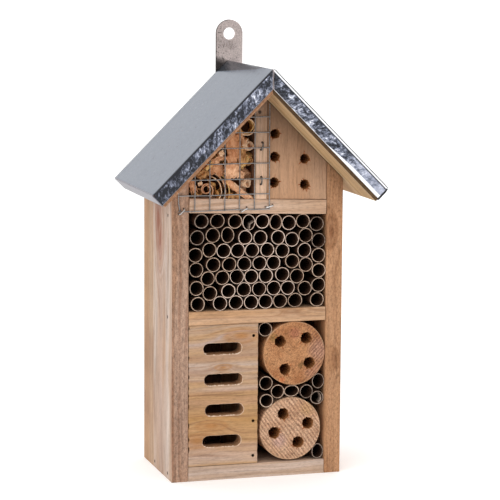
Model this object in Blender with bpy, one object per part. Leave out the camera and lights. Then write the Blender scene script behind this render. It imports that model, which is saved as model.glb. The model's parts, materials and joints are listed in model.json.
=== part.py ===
"""An insect hotel: a gabled wooden case under a folded metal roof, filled with nesting places.

Metres, +Z up, the open front faces -Y. The origin is at the middle of the case's footprint,
on the surface that the case stands on.
"""

import math
import random

import bmesh
import bpy
from mathutils import Matrix, Vector

MM = 0.001
GAP = 0.0003  # clearance between two pieces that touch
BORE_LEAD = 0.01  # how far in front of its face a drill starts
BORE_SIDES = 14

# Case
CASE_WIDTH = 0.147
CASE_DEPTH = 0.0945
SIDE_THICK = 0.014
BOTTOM_THICK = 0.0121
BACK_THICK = 0.009
MIDDLE_SHELF_BOTTOM = 0.1313
MIDDLE_SHELF_THICK = 0.0112
UPPER_SHELF_MIDDLE = 0.2286  # height of the board's centre line halfway across
UPPER_SHELF_THICK = 0.0118
UPPER_SHELF_TILT = math.radians(2.0)  # nailed in slightly askew, lower at the right

# Roof: two boards at 45 degrees, meeting at the ridge, under one folded sheet
RIDGE_TOP = 0.3440
ROOF_HALF_WIDTH = 0.0997
ROOF_FRONT_OVERHANG = 0.0384
SHEET_THICK = 0.0006
BOARD_THICK = 0.0134
FOLD_HEIGHT = 0.0117
SEAM_GAP = 0.0004

# Hanger
HANGER_MIDDLE = 0.0017  # set a little to the right of the ridge
HANGER_WIDTH = 0.0237
HANGER_THICK = 0.0018
HANGER_TOP = 0.3782
HANGER_BOTTOM = 0.2720
HANGER_HOLE_HEIGHT = 0.3663
HANGER_HOLE_RADIUS = 0.0051
HANGER_HOLE_SIDES = 24
HANGER_ARC_STEPS = 12

# Lower storey
DIVIDER_THICK = 0.008
SLOTTED_PANEL_THICK = 0.013
SLOTTED_PANEL_RIGHT = 0.0006
SLOT_WIDTH = 0.0332
SLOT_HEIGHT = 0.0098
SLOT_ARC_STEPS = 6
SLOTS = ((-0.0300, 0.1108), (-0.0291, 0.0848), (-0.0283, 0.0592), (-0.0303, 0.0328))
DISC_SIDES = 36
DISC_DEPTH = 0.068
DISC_RECESS = 0.0006
DISC_HOLE_RADIUS = 0.0048
DISC_HOLE_DEPTH = 0.055
UPPER_DISC = (0.0323, 0.1040, 0.0269)  # middle (x, z) and radius
UPPER_DISC_HOLES = ((0.0160, 139), (0.0163, 50), (0.0153, 239), (0.0160, -33))
LOWER_DISC = (0.0294, 0.0399, 0.0266)
LOWER_DISC_HOLES = ((0.0144, 116), (0.0160, 14), (0.0143, 191), (0.0141, 300))

# Nesting tubes: places in millimetres, across from the middle of the case and up from the
# floor under them, one row after another; a third number is an oval tube's width over its round one
TUBE_RADIUS = 0.0060
BAY_TUBE_RADIUS = 0.00575
TUBE_WALL = 0.0011
TUBE_SIDES = 12
TUBE_PLUG = 0.0035
TUBE_LENGTH = 0.078
TUBE_RECESS = (0.0004, 0.0022)  # how far the front ends sit behind the case, least and most
SETTLE_ROUNDS = 300
BEAD_HEIGHT = 0.0024
BEAD_INSET = 0.0006
ROW_SEED = 4
BAY_SEED = 9
TUBE_ROWS = (
    ((-48.5, 75), (-35, 75), (-19.5, 74), (-7.5, 73, 0.9), (4, 73.5), (15.5, 72.5, 0.9),
     (27, 71.5), (39, 72), (51, 70)),
    ((-52, 61.5), (-38.5, 63), (-26, 63, 0.9), (-11, 60.5), (2, 60), (17.5, 59.5),
     (30, 57.5), (42, 60.5), (53.5, 56)),
    ((-52.5, 47), (-41.5, 51), (-29.5, 50), (-17, 50), (-5, 49.5), (8.5, 49.5), (22, 48),
     (40.5, 48), (53, 43.5)),
    ((-52.5, 35), (-38, 38.5), (-24.5, 38.5), (-11.5, 38.5), (1.5, 38.5), (14, 38.5),
     (30.5, 39.5), (42.5, 36), (54.5, 31.5)),
    ((-42.5, 27), (-30, 27), (-17.5, 28), (-5, 27.5), (7, 28), (21.5, 28.5), (34.5, 26.5)),
    ((-52, 19.5), (-40.5, 14.5), (-25.5, 16), (-11.5, 17), (1.5, 17), (14, 17.5),
     (26.5, 17), (42, 16.5), (54.5, 18)),
    ((-51, 6), (-32.5, 5.5), (-18.5, 6.5), (-5.5, 6), (7, 6), (19.5, 5.5), (33, 6), (52, 6)),
)
BAY_TUBES = ((8.5, 112.5), (8, 67.5), (18.5, 60), (31.5, 59, 1.14), (44, 58), (54, 67, 0.9),
             (53.5, 53.5), (9, 52), (54, 6.6, 0.88))

# Attic
POST_LEFT = -0.003
POST_THICK = 0.010
BLOCK_RECESS = 0.0008
BLOCK_HOLE_RADIUS = 0.0041
BLOCK_HOLE_DEPTH = 0.060
BLOCK_HOLES = ((0.0141, 0.2882), (0.0140, 0.2693), (0.0138, 0.2480), (0.0400, 0.2671),
               (0.0400, 0.2458))
SHAVINGS_RECESS = 0.007
POST_NAIL = (0.0005, 0.3063)

# Wire mesh and its staples
WIRE_RADIUS = 0.00048
WIRE_SIDES = 6
WELD_DEPTH = 0.00024  # how far the crosswires sink into the uprights
MESH_PITCH = 0.0127
MESH_LEFT = -0.0678
MESH_BOTTOM = 0.2264
MESH_UPRIGHTS = 7
MESH_CROSSWIRES = 7
WIRE_STUB = 0.0006
STAPLE_WIRE = 0.0006
STAPLE_CROWN = 0.0062
STAPLE_LEG = 0.009
STAPLES = (
    ("staple_post_upper", 0.0024, 0.2784, 81, "attic_post"),
    ("staple_post_lower", 0.0019, 0.2500, 86, "attic_post"),
    ("staple_shelf_left", -0.0656, 0.2262, 45, "side_panel_left"),
    ("staple_shelf_middle", -0.0128, 0.2264, 30, "upper_shelf"),
    ("staple_shelf_right", 0.0091, 0.2287, 15, "upper_shelf"),
)

# Nails and screws
NAIL_HEAD_RADIUS = 0.0013
NAIL_HEAD_THICK = 0.0008
NAIL_SHANK_RADIUS = 0.0007
SIDE_NAIL_LENGTH = 0.026
PIN_LENGTH = 0.020
NAIL_SIDES = 8
NAIL_TIP_SHARE = 0.35  # width of the point over that of the shank
SIDE_NAILS = (  # behind the front face, height, and the board it goes into
    ("bottom_front", 0.0143, 0.0050, "bottom_board"),
    ("bottom_back", 0.0570, 0.0050, "bottom_board"),
    ("middle", 0.0145, 0.1371, "middle_shelf"),
    ("upper", 0.0160, UPPER_SHELF_MIDDLE, "upper_shelf"),
)
STRAY_NAIL = (0.0136, 0.2217)  # missed the shelf and was snipped off inside the panel
STRAY_NAIL_LENGTH = 0.0125
PANEL_PINS = (("upper", 0.1208), ("middle", 0.0486), ("lower", 0.0190))
EAVE_NAILS = (("front", -0.0640), ("back", 0.0250))
EAVE_NAIL_DROP = 0.0055
SCREW_HEAD_RADIUS = 0.0036
SCREW_SHANK_RADIUS = 0.0016
SCREW_LENGTH = 0.0080
SCREWS = (("upper", 0.3020), ("lower", 0.2820))

# Planes worked out from the above
FRONT = -CASE_DEPTH / 2
BACK = CASE_DEPTH / 2
INSIDE = CASE_WIDTH / 2 - SIDE_THICK
BACK_PANEL_FRONT = BACK - BACK_THICK
ROOF_FRONT = FRONT - ROOF_FRONT_OVERHANG
MIDDLE_SHELF_TOP = MIDDLE_SHELF_BOTTOM + MIDDLE_SHELF_THICK
DIAGONAL = math.sqrt(2)
ROOF_UNDERSIDE = RIDGE_TOP - (SHEET_THICK + GAP + BOARD_THICK) * DIAGONAL  # its height at x = 0
UNDER_ROOF = ROOF_UNDERSIDE - GAP * DIAGONAL  # top of what fits beneath the boards, at x = 0
UPRIGHT_Y = FRONT - GAP - WIRE_RADIUS
CROSSWIRE_Y = UPRIGHT_Y - 2 * WIRE_RADIUS + WELD_DEPTH
CROWN_Y = CROSSWIRE_Y - WIRE_RADIUS - GAP - STAPLE_WIRE

# Colour, roughness and metallic value of each material
PALE_WOOD = ((0.60, 0.40, 0.24), 0.75, 0.0)
FRONT_WOOD = ((0.50, 0.30, 0.16), 0.75, 0.0)
BRANCH_WOOD = ((0.48, 0.25, 0.10), 0.8, 0.0)
PAPER = ((0.45, 0.33, 0.22), 0.9, 0.0)
SHAVINGS = ((0.40, 0.24, 0.12), 0.9, 0.0)
ZINC_SHEET = ((0.42, 0.45, 0.48), 0.4, 0.9)
ZINC_WIRE = ((0.40, 0.40, 0.38), 0.45, 0.9)
HANGER_STEEL = ((0.45, 0.42, 0.38), 0.5, 0.8)
NAIL_STEEL = ((0.16, 0.13, 0.11), 0.5, 0.8)

ROUND_ANGLE = math.radians(40)


def material(name, look):
    """A plain Principled material, made once for each name."""
    found = bpy.data.materials.get(name)
    if found:
        return found
    colour, roughness, metallic = look
    made = bpy.data.materials.new(name)
    made.use_nodes = True
    shader = made.node_tree.nodes["Principled BSDF"]
    shader.inputs["Base Color"].default_value = (*colour, 1.0)
    shader.inputs["Roughness"].default_value = roughness
    shader.inputs["Metallic"].default_value = metallic
    return made


def add_object(name, bm, look, smooth=False):
    """An object in the scene from a bmesh, with a material of its own."""
    mesh = bpy.data.meshes.new(name)
    bmesh.ops.recalc_face_normals(bm, faces=bm.faces)
    bm.to_mesh(mesh)
    bm.free()
    if smooth:
        mesh.shade_smooth()
        mesh.set_sharp_from_angle(angle=ROUND_ANGLE)
    mesh.materials.append(material(name + "_finish", look))
    made = bpy.data.objects.new(name, mesh)
    bpy.context.scene.collection.objects.link(made)
    return made


def as_cutter(piece):
    """Marks an object as one that only shapes another."""
    piece.hide_render = True
    piece.display_type = "WIRE"
    return piece


def boolean(target, other, operation="DIFFERENCE"):
    change = target.modifiers.new(operation.lower(), "BOOLEAN")
    change.operation = operation
    change.solver = "EXACT"
    change.object = as_cutter(other)


def add_prism(bm, outline, low, high):
    """Extrudes an outline of (x, z) points along Y from low to high."""
    ends = [[bm.verts.new((x, y, z)) for x, z in outline] for y in (low, high)]
    bm.faces.new(ends[0])
    bm.faces.new(ends[1][::-1])
    for i in range(len(outline)):
        j = (i + 1) % len(outline)
        bm.faces.new((ends[0][i], ends[0][j], ends[1][j], ends[1][i]))


def prism(name, outline, low, high, look):
    bm = bmesh.new()
    add_prism(bm, outline, low, high)
    return add_object(name, bm, look)


def rectangle(left, bottom, right, top):
    return ((left, bottom), (right, bottom), (right, top), (left, top))


def circle(centre, radius, sides, stretch=1.0):
    """Points round a centre; stretch widens the circle and lowers it as much."""
    turns = [2 * math.pi * (i + 0.5) / sides for i in range(sides)]
    return [
        (centre[0] + radius * stretch * math.cos(t), centre[1] + radius * (2 - stretch) * math.sin(t))
        for t in turns
    ]


def add_turned(bm, profile, sides, place):
    """A solid of revolution about the local Z from (radius, height) points, put in place."""
    rings = []
    for radius, height in profile:
        ring = []
        for i in range(sides):
            turn = 2 * math.pi * i / sides
            point = Vector((radius * math.cos(turn), radius * math.sin(turn), height))
            ring.append(bm.verts.new(place @ point))
        rings.append(ring)
    for first, second in zip(rings, rings[1:]):
        for i in range(sides):
            j = (i + 1) % sides
            bm.faces.new((first[i], first[j], second[j], second[i]))
    bm.faces.new(rings[0][::-1])
    bm.faces.new(rings[-1])


def facing(point, direction):
    """The matrix that puts a local +Z along direction at a point."""
    turn = Vector((0, 0, 1)).rotation_difference(Vector(direction)).to_matrix().to_4x4()
    return Matrix.Translation(point) @ turn


def fastener(name, point, direction, length, hosts, head=NAIL_HEAD_RADIUS, shank=NAIL_SHANK_RADIUS):
    """A nail or screw driven in against direction, and its clearance hole in each host."""
    place = facing(point, direction)
    tip = shank * NAIL_TIP_SHARE
    profile = ((tip, -length), (shank, -length + 2 * shank), (shank, -NAIL_HEAD_THICK),
               (head, -NAIL_HEAD_THICK / 2), (head, 0))
    bm = bmesh.new()
    add_turned(bm, profile, NAIL_SIDES, place)
    add_object(name, bm, NAIL_STEEL, smooth=True)
    wide = head + GAP
    narrow = shank + GAP
    bore = ((narrow, -length - GAP), (narrow, -NAIL_HEAD_THICK - GAP), (wide, -NAIL_HEAD_THICK - GAP),
            (wide, 2 * head))
    for host in hosts:
        cut = bmesh.new()
        add_turned(cut, bore, NAIL_SIDES, place)
        boolean(bpy.data.objects[host], add_object(name + "_bore_" + host, cut, NAIL_STEEL))


def slope_point(side, along, depth):
    """A point on a roof slope: along it from the ridge, and depth below the sheet's top."""
    x = (along - depth) / DIAGONAL
    return (side * x, RIDGE_TOP - (along + depth) / DIAGONAL)


def roof_slab(side, start, end, top, bottom):
    """Section of a layer of the roof, cut upright at the ridge, between two depths."""
    return (
        (side * start, RIDGE_TOP - start - top * DIAGONAL),
        (side * start, RIDGE_TOP - start - bottom * DIAGONAL),
        slope_point(side, end, bottom),
        slope_point(side, end, top),
    )


def make_roof():
    eave = ROOF_HALF_WIDTH * DIAGONAL
    under_sheet = SHEET_THICK + GAP
    for side, word in ((-1, "left"), (1, "right")):
        outline = roof_slab(side, GAP / 2, eave - under_sheet, under_sheet, under_sheet + BOARD_THICK)
        prism("roof_board_" + word, outline, ROOF_FRONT + under_sheet, BACK, PALE_WOOD)
    ridge = (
        slope_point(-1, eave, 0),
        (0, RIDGE_TOP),
        slope_point(1, eave, 0),
        slope_point(1, eave, SHEET_THICK),
        (0, RIDGE_TOP - SHEET_THICK * DIAGONAL),
        slope_point(-1, eave, SHEET_THICK),
    )
    sheet = prism("roof_sheet", ridge, ROOF_FRONT, BACK, ZINC_SHEET)
    overlap = SHEET_THICK / 2
    for side, word in ((-1, "left"), (1, "right")):
        face = (
            (side * SEAM_GAP, RIDGE_TOP - SEAM_GAP - overlap * DIAGONAL),
            (side * SEAM_GAP, RIDGE_TOP - SEAM_GAP - FOLD_HEIGHT * DIAGONAL),
            slope_point(side, eave - SHEET_THICK - SEAM_GAP, FOLD_HEIGHT),
            slope_point(side, eave - SHEET_THICK - SEAM_GAP, overlap),
        )
        fold = prism("fascia_" + word, face, ROOF_FRONT, ROOF_FRONT + SHEET_THICK, ZINC_SHEET)
        boolean(sheet, fold, "UNION")
        lip_section = (
            slope_point(side, eave - SHEET_THICK, overlap),
            slope_point(side, eave - SHEET_THICK, FOLD_HEIGHT),
            slope_point(side, eave, FOLD_HEIGHT),
            slope_point(side, eave, overlap),
        )
        lip = prism("eave_lip_" + word, lip_section, ROOF_FRONT, BACK, ZINC_SHEET)
        boolean(sheet, lip, "UNION")
    for side, word in ((-1, "left"), (1, "right")):
        for where, y in EAVE_NAILS:
            x, z = slope_point(side, eave, EAVE_NAIL_DROP)
            outward = (side / DIAGONAL, 0, -1 / DIAGONAL)
            fastener(f"eave_nail_{word}_{where}", (x, y, z), outward, PIN_LENGTH,
                     ("roof_sheet", "roof_board_" + word))


def make_case():
    half = CASE_WIDTH / 2
    for side, word in ((-1, "left"), (1, "right")):
        outline = (
            (side * half, 0),
            (side * INSIDE, 0),
            (side * INSIDE, UNDER_ROOF - INSIDE),
            (side * half, UNDER_ROOF - half),
        )
        prism("side_panel_" + word, outline, FRONT, BACK, PALE_WOOD)
    fit = INSIDE - GAP
    floor = rectangle(-fit, 0, fit, BOTTOM_THICK)
    prism("bottom_board", floor, FRONT, BACK, FRONT_WOOD)
    shelf_back = BACK_PANEL_FRONT - GAP
    shelf = rectangle(-fit, MIDDLE_SHELF_BOTTOM, fit, MIDDLE_SHELF_TOP)
    prism("middle_shelf", shelf, FRONT, shelf_back, FRONT_WOOD)
    reach = fit - UPPER_SHELF_THICK / 2 * math.sin(UPPER_SHELF_TILT)
    board = rectangle(-reach, -UPPER_SHELF_THICK / 2, reach, UPPER_SHELF_THICK / 2)
    upper = prism("upper_shelf", board, FRONT, shelf_back, FRONT_WOOD)
    upper.location = (0, 0, UPPER_SHELF_MIDDLE)
    upper.rotation_euler = (0, UPPER_SHELF_TILT, 0)
    gable = (
        (-fit, BOTTOM_THICK + GAP),
        (fit, BOTTOM_THICK + GAP),
        (fit, UNDER_ROOF - fit),
        (0, UNDER_ROOF),
        (-fit, UNDER_ROOF - fit),
    )
    prism("back_panel", gable, BACK_PANEL_FRONT, BACK, PALE_WOOD)


def upper_shelf_height(x, above):
    """Height of the tilted shelf's top (above = 1) or underside (above = -1) at x."""
    half = UPPER_SHELF_THICK / 2 / math.cos(UPPER_SHELF_TILT)
    return UPPER_SHELF_MIDDLE + above * half - x * math.tan(UPPER_SHELF_TILT)


def make_hanger():
    half = HANGER_WIDTH / 2
    low = BACK + GAP
    shoulder = HANGER_TOP - half
    arc = [math.pi * i / HANGER_ARC_STEPS for i in range(HANGER_ARC_STEPS + 1)]
    outline = [(HANGER_MIDDLE + half * math.cos(a), shoulder + half * math.sin(a)) for a in arc]
    outline += [(HANGER_MIDDLE - half, HANGER_BOTTOM), (HANGER_MIDDLE + half, HANGER_BOTTOM)]
    plate = prism("hanger_plate", outline, low, low + HANGER_THICK, HANGER_STEEL)
    hole = circle((HANGER_MIDDLE, HANGER_HOLE_HEIGHT), HANGER_HOLE_RADIUS, HANGER_HOLE_SIDES)
    boolean(plate, prism("hanger_hole", hole, low - HANGER_THICK, low + 2 * HANGER_THICK, HANGER_STEEL))
    for word, z in SCREWS:
        face = (HANGER_MIDDLE, low + HANGER_THICK, z)
        fastener("hanger_screw_" + word, face, (0, 1, 0), SCREW_LENGTH, ("hanger_plate", "back_panel"),
                 SCREW_HEAD_RADIUS, SCREW_SHANK_RADIUS)


def slot_outline(centre):
    """A slot with round ends, centred at (x, z)."""
    radius = SLOT_HEIGHT / 2
    straight = SLOT_WIDTH / 2 - radius
    points = []
    for side in (1, -1):
        for i in range(SLOT_ARC_STEPS + 1):
            turn = math.pi * i / SLOT_ARC_STEPS - side * math.pi / 2
            points.append((
                centre[0] + side * straight + radius * math.cos(turn),
                centre[1] + radius * math.sin(turn),
            ))
    return points


def make_lower_storey():
    left = -INSIDE + GAP
    bottom = BOTTOM_THICK + GAP
    top = MIDDLE_SHELF_BOTTOM - GAP
    panel_back = FRONT + SLOTTED_PANEL_THICK
    face = rectangle(left, bottom, SLOTTED_PANEL_RIGHT, top)
    panel = prism("slotted_panel", face, FRONT, panel_back, FRONT_WOOD)
    for number, centre in enumerate(SLOTS):
        start = FRONT - BORE_LEAD
        end = panel_back + BORE_LEAD
        boolean(panel, prism(f"slot_{number}", slot_outline(centre), start, end, FRONT_WOOD))
    wall = rectangle(SLOTTED_PANEL_RIGHT - DIVIDER_THICK, bottom, SLOTTED_PANEL_RIGHT, top)
    prism("lower_divider", wall, panel_back + GAP, BACK_PANEL_FRONT - GAP, PALE_WOOD)
    pin_x = SLOTTED_PANEL_RIGHT - DIVIDER_THICK / 2
    for word, z in PANEL_PINS:
        fastener("panel_pin_" + word, (pin_x, FRONT, z), (0, -1, 0), PIN_LENGTH,
                 ("slotted_panel", "lower_divider"))


def make_disc(name, disc_place, holes):
    """A drilled cut of a branch, lying with its end grain to the front."""
    *centre, radius = disc_place
    start = FRONT + DISC_RECESS
    outline = circle(centre, radius, DISC_SIDES)
    disc = prism(name, outline, start, start + DISC_DEPTH, BRANCH_WOOD)
    disc.data.shade_smooth()
    disc.data.set_sharp_from_angle(angle=ROUND_ANGLE)
    for number, (reach, degrees) in enumerate(holes):
        turn = math.radians(degrees)
        place = (centre[0] + reach * math.cos(turn), centre[1] + reach * math.sin(turn))
        drill = circle(place, DISC_HOLE_RADIUS, BORE_SIDES)
        end = start + DISC_HOLE_DEPTH
        boolean(disc, prism(f"{name}_bore_{number}", drill, start - BORE_LEAD, end, BRANCH_WOOD))


def reach_of(tube, radius, direction):
    """An oval tube's half width towards a direction."""
    across = direction.x / (radius * tube[2])
    up = direction.y / (radius * (2 - tube[2]))
    return direction.length / math.hypot(across, up)


def settle(places, radius, floor, left, ceiling, fixed=()):
    """Moves tubes apart until none touches another, a wall or a fixed round piece.

    A tube is [x, z, stretch]; ceiling gives the height of the board above at an x.
    """
    tubes = [[place[0] * MM, floor + place[1] * MM, (*place, 1.0)[2]] for place in places]
    for _ in range(SETTLE_ROUNDS):
        for i, tube in enumerate(tubes):
            here = Vector((tube[0], tube[1]))
            for other in tubes[i + 1:]:
                apart = Vector((other[0], other[1])) - here
                need = reach_of(tube, radius, apart) + reach_of(other, radius, apart) + GAP
                if apart.length < need:
                    push = apart.normalized() * (need - apart.length) / 2
                    tube[0] -= push.x
                    tube[1] -= push.y
                    other[0] += push.x
                    other[1] += push.y
            for x, z, size in fixed:
                apart = Vector((tube[0] - x, tube[1] - z))
                need = size + reach_of(tube, radius, apart) + GAP
                if apart.length < need:
                    push = apart.normalized() * (need - apart.length)
                    tube[0] += push.x
                    tube[1] += push.y
            wide = radius * tube[2] + GAP
            high = radius * (2 - tube[2]) + GAP
            tube[0] = min(max(tube[0], left + wide), INSIDE - wide)
            tube[1] = min(max(tube[1], floor + high), ceiling(tube[0]) - high)
    return tubes


def add_tube(bm, tube, radius, start, end):
    """A paper tube along Y, open at the front and plugged at the back."""
    outer = circle(tube, radius, TUBE_SIDES, tube[2])
    inner = circle(tube, radius - TUBE_WALL, TUBE_SIDES, tube[2])
    bottom = end - TUBE_PLUG
    rings = (
        [bm.verts.new((x, end, z)) for x, z in outer],
        [bm.verts.new((x, start, z)) for x, z in outer],
        [bm.verts.new((x, start, z)) for x, z in inner],
        [bm.verts.new((x, bottom, z)) for x, z in inner],
    )
    for first, second in zip(rings, rings[1:]):
        for i in range(TUBE_SIDES):
            j = (i + 1) % TUBE_SIDES
            bm.faces.new((first[i], first[j], second[j], second[i]))
    bm.faces.new(rings[0])
    bm.faces.new(rings[-1][::-1])


def glue_bead(name, tubes, end):
    """A flat bead of glue that runs through the plugs of a row of tubes."""
    near = end - TUBE_PLUG + BEAD_INSET
    far = end - BEAD_INSET
    half = BEAD_HEIGHT / 2
    bm = bmesh.new()
    sections = []
    for x, z, _ in tubes:
        corners = ((x, near, z - half), (x, far, z - half), (x, far, z + half), (x, near, z + half))
        sections.append([bm.verts.new(corner) for corner in corners])
    for first, second in zip(sections, sections[1:]):
        for i in range(4):
            j = (i + 1) % 4
            bm.faces.new((first[i], first[j], second[j], second[i]))
    bm.faces.new(sections[0])
    bm.faces.new(sections[-1][::-1])
    return add_object(name, bm, PAPER)


def make_tube_rows():
    chance = random.Random(ROW_SEED)
    places = [place for row in TUBE_ROWS for place in row]
    settled = settle(places, TUBE_RADIUS, MIDDLE_SHELF_TOP, -INSIDE,
                     lambda x: upper_shelf_height(x, -1))
    end = BACK_PANEL_FRONT - GAP
    for number, row in enumerate(TUBE_ROWS):
        tubes = settled[:len(row)]
        settled = settled[len(row):]
        bm = bmesh.new()
        for tube in tubes:
            start = FRONT + chance.uniform(*TUBE_RECESS)
            add_tube(bm, tube, TUBE_RADIUS, start, end)
        made = add_object(f"tube_row_{number + 1}", bm, PAPER, smooth=True)
        boolean(made, glue_bead(f"bead_{number + 1}", tubes, end), "UNION")


def make_bay_tubes():
    chance = random.Random(BAY_SEED)
    settled = settle(BAY_TUBES, BAY_TUBE_RADIUS, BOTTOM_THICK, SLOTTED_PANEL_RIGHT,
                     lambda x: MIDDLE_SHELF_BOTTOM, (UPPER_DISC, LOWER_DISC))
    for number, tube in enumerate(settled):
        start = FRONT + chance.uniform(*TUBE_RECESS)
        bm = bmesh.new()
        add_tube(bm, tube, BAY_TUBE_RADIUS, start, start + TUBE_LENGTH)
        add_object(f"bay_tube_{number + 1}", bm, PAPER, smooth=True)


def make_attic():
    post_right = POST_LEFT + POST_THICK
    back = BACK_PANEL_FRONT - GAP
    post = (
        (POST_LEFT, upper_shelf_height(POST_LEFT, 1) + GAP),
        (post_right, upper_shelf_height(post_right, 1) + GAP),
        (post_right, UNDER_ROOF - post_right),
        (0, UNDER_ROOF),
        (POST_LEFT, UNDER_ROOF + POST_LEFT),
    )
    prism("attic_post", post, FRONT, back, FRONT_WOOD)
    block_left = post_right + GAP
    block_right = INSIDE - GAP
    block = (
        (block_left, upper_shelf_height(block_left, 1) + GAP),
        (block_right, upper_shelf_height(block_right, 1) + GAP),
        (block_right, UNDER_ROOF - block_right),
        (block_left, UNDER_ROOF - block_left),
    )
    start = FRONT + BLOCK_RECESS
    solid = prism("drilled_block", block, start, back, FRONT_WOOD)
    for number, place in enumerate(BLOCK_HOLES):
        drill = circle(place, BLOCK_HOLE_RADIUS, BORE_SIDES)
        end = start + BLOCK_HOLE_DEPTH
        boolean(solid, prism(f"block_bore_{number}", drill, start - BORE_LEAD, end, FRONT_WOOD))
    fill_left = -INSIDE + GAP
    fill_right = POST_LEFT - GAP
    fill = (
        (fill_left, upper_shelf_height(fill_left, 1) + GAP),
        (fill_right, upper_shelf_height(fill_right, 1) + GAP),
        (fill_right, UNDER_ROOF + fill_right),
        (fill_left, UNDER_ROOF + fill_left),
    )
    prism("wood_shavings", fill, FRONT + SHAVINGS_RECESS, back, SHAVINGS)
    nail_x, nail_z = POST_NAIL
    fastener("post_nail", (nail_x, FRONT, nail_z), (0, -1, 0), PIN_LENGTH, ("attic_post",))


def make_wire_mesh():
    """Welded square mesh, cut along the left slope of the roof."""
    right = MESH_LEFT + (MESH_UPRIGHTS - 1) * MESH_PITCH + WIRE_STUB
    under = UNDER_ROOF - 2 * WIRE_STUB
    uprights = bmesh.new()
    for i in range(MESH_UPRIGHTS):
        x = MESH_LEFT + i * MESH_PITCH
        length = under - abs(x) - (MESH_BOTTOM - WIRE_STUB)
        place = facing((x, UPRIGHT_Y, MESH_BOTTOM - WIRE_STUB), (0, 0, 1))
        add_turned(uprights, ((WIRE_RADIUS, 0), (WIRE_RADIUS, length)), WIRE_SIDES, place)
    crosswires = bmesh.new()
    for j in range(MESH_CROSSWIRES):
        z = MESH_BOTTOM + j * MESH_PITCH
        left = max(MESH_LEFT - WIRE_STUB, z - under)
        place = facing((left, CROSSWIRE_Y, z), (1, 0, 0))
        add_turned(crosswires, ((WIRE_RADIUS, 0), (WIRE_RADIUS, right - left)), WIRE_SIDES, place)
    mesh = add_object("wire_mesh", uprights, ZINC_WIRE, smooth=True)
    boolean(mesh, add_object("mesh_crosswires", crosswires, ZINC_WIRE), "UNION")


def staple_path(x, z, degrees):
    """The points of a staple's wire, from one leg's tip to the other's."""
    turn = math.radians(degrees)
    tip = FRONT + STAPLE_LEG
    half = STAPLE_CROWN / 2
    bend = 2 * STAPLE_WIRE
    path = []
    for side in (-1, 1):
        leg = [(half, tip)]
        for corner in (0, math.pi / 4, math.pi / 2):
            reach = half - bend * (1 - math.cos(corner))
            leg.append((reach, CROWN_Y + bend * (1 - math.sin(corner))))
        arm = [(x + side * r * math.cos(turn), y, z + side * r * math.sin(turn)) for r, y in leg]
        path += arm if side < 0 else arm[::-1]
    return [Vector(point) for point in path]


def add_swept(bm, path, radius, across):
    """A wire of even thickness along a flat path; across is the normal of the path's plane."""
    rings = []
    for i, point in enumerate(path):
        ahead = path[min(i + 1, len(path) - 1)] - point
        behind = point - path[max(i - 1, 0)]
        along = (ahead.normalized() + behind.normalized()).normalized()
        outward = along.cross(across).normalized()
        widen = 1.0
        if ahead.length and behind.length:
            widen = 1 / along.dot(ahead.normalized())
        ring = []
        for k in range(WIRE_SIDES):
            turn = 2 * math.pi * k / WIRE_SIDES
            offset = across * math.cos(turn) + outward * math.sin(turn) * widen
            ring.append(bm.verts.new(point + radius * offset))
        rings.append(ring)
    for first, second in zip(rings, rings[1:]):
        for i in range(WIRE_SIDES):
            j = (i + 1) % WIRE_SIDES
            bm.faces.new((first[i], first[j], second[j], second[i]))
    bm.faces.new(rings[0][::-1])
    bm.faces.new(rings[-1])


def make_staples():
    for name, x, z, degrees, host in STAPLES:
        turn = math.radians(degrees)
        across = Vector((-math.sin(turn), 0, math.cos(turn)))
        bm = bmesh.new()
        add_swept(bm, staple_path(x, z, degrees), STAPLE_WIRE, across)
        add_object(name, bm, ZINC_WIRE, smooth=True)
        bores = bmesh.new()
        for side in (-1, 1):
            reach = side * STAPLE_CROWN / 2
            mouth = FRONT - STAPLE_CROWN
            start = (x + reach * math.cos(turn), mouth, z + reach * math.sin(turn))
            bore = STAPLE_WIRE + GAP
            depth = FRONT + STAPLE_LEG + GAP - mouth
            add_turned(bores, ((bore, 0), (bore, depth)), NAIL_SIDES, facing(start, (0, 1, 0)))
        boolean(bpy.data.objects[host], add_object(name + "_bores", bores, ZINC_WIRE))


def make_side_nails():
    for side, word in ((-1, "left"), (1, "right")):
        x = side * CASE_WIDTH / 2
        panel = "side_panel_" + word
        for where, inward, z, board in SIDE_NAILS:
            height = z - x * math.tan(UPPER_SHELF_TILT) if board == "upper_shelf" else z
            fastener(f"side_nail_{word}_{where}", (x, FRONT + inward, height), (side, 0, 0),
                     SIDE_NAIL_LENGTH, (panel, board))
    inward, z = STRAY_NAIL
    fastener("side_nail_left_stray", (-CASE_WIDTH / 2, FRONT + inward, z), (-1, 0, 0),
             STRAY_NAIL_LENGTH, ("side_panel_left",))


def main():
    for old in list(bpy.data.objects):
        bpy.data.objects.remove(old)
    make_case()
    make_roof()
    make_hanger()
    make_lower_storey()
    make_disc("log_disc_upper", UPPER_DISC, UPPER_DISC_HOLES)
    make_disc("log_disc_lower", LOWER_DISC, LOWER_DISC_HOLES)
    make_bay_tubes()
    make_tube_rows()
    make_attic()
    make_wire_mesh()
    make_staples()
    make_side_nails()


main()
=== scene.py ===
"""The looks of the insect hotel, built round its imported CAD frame.

Metres, +Z up, the open front faces -Y.
"""

import json
import math
import random

import bmesh
import bpy
from mathutils import Matrix, Vector, noise


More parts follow.
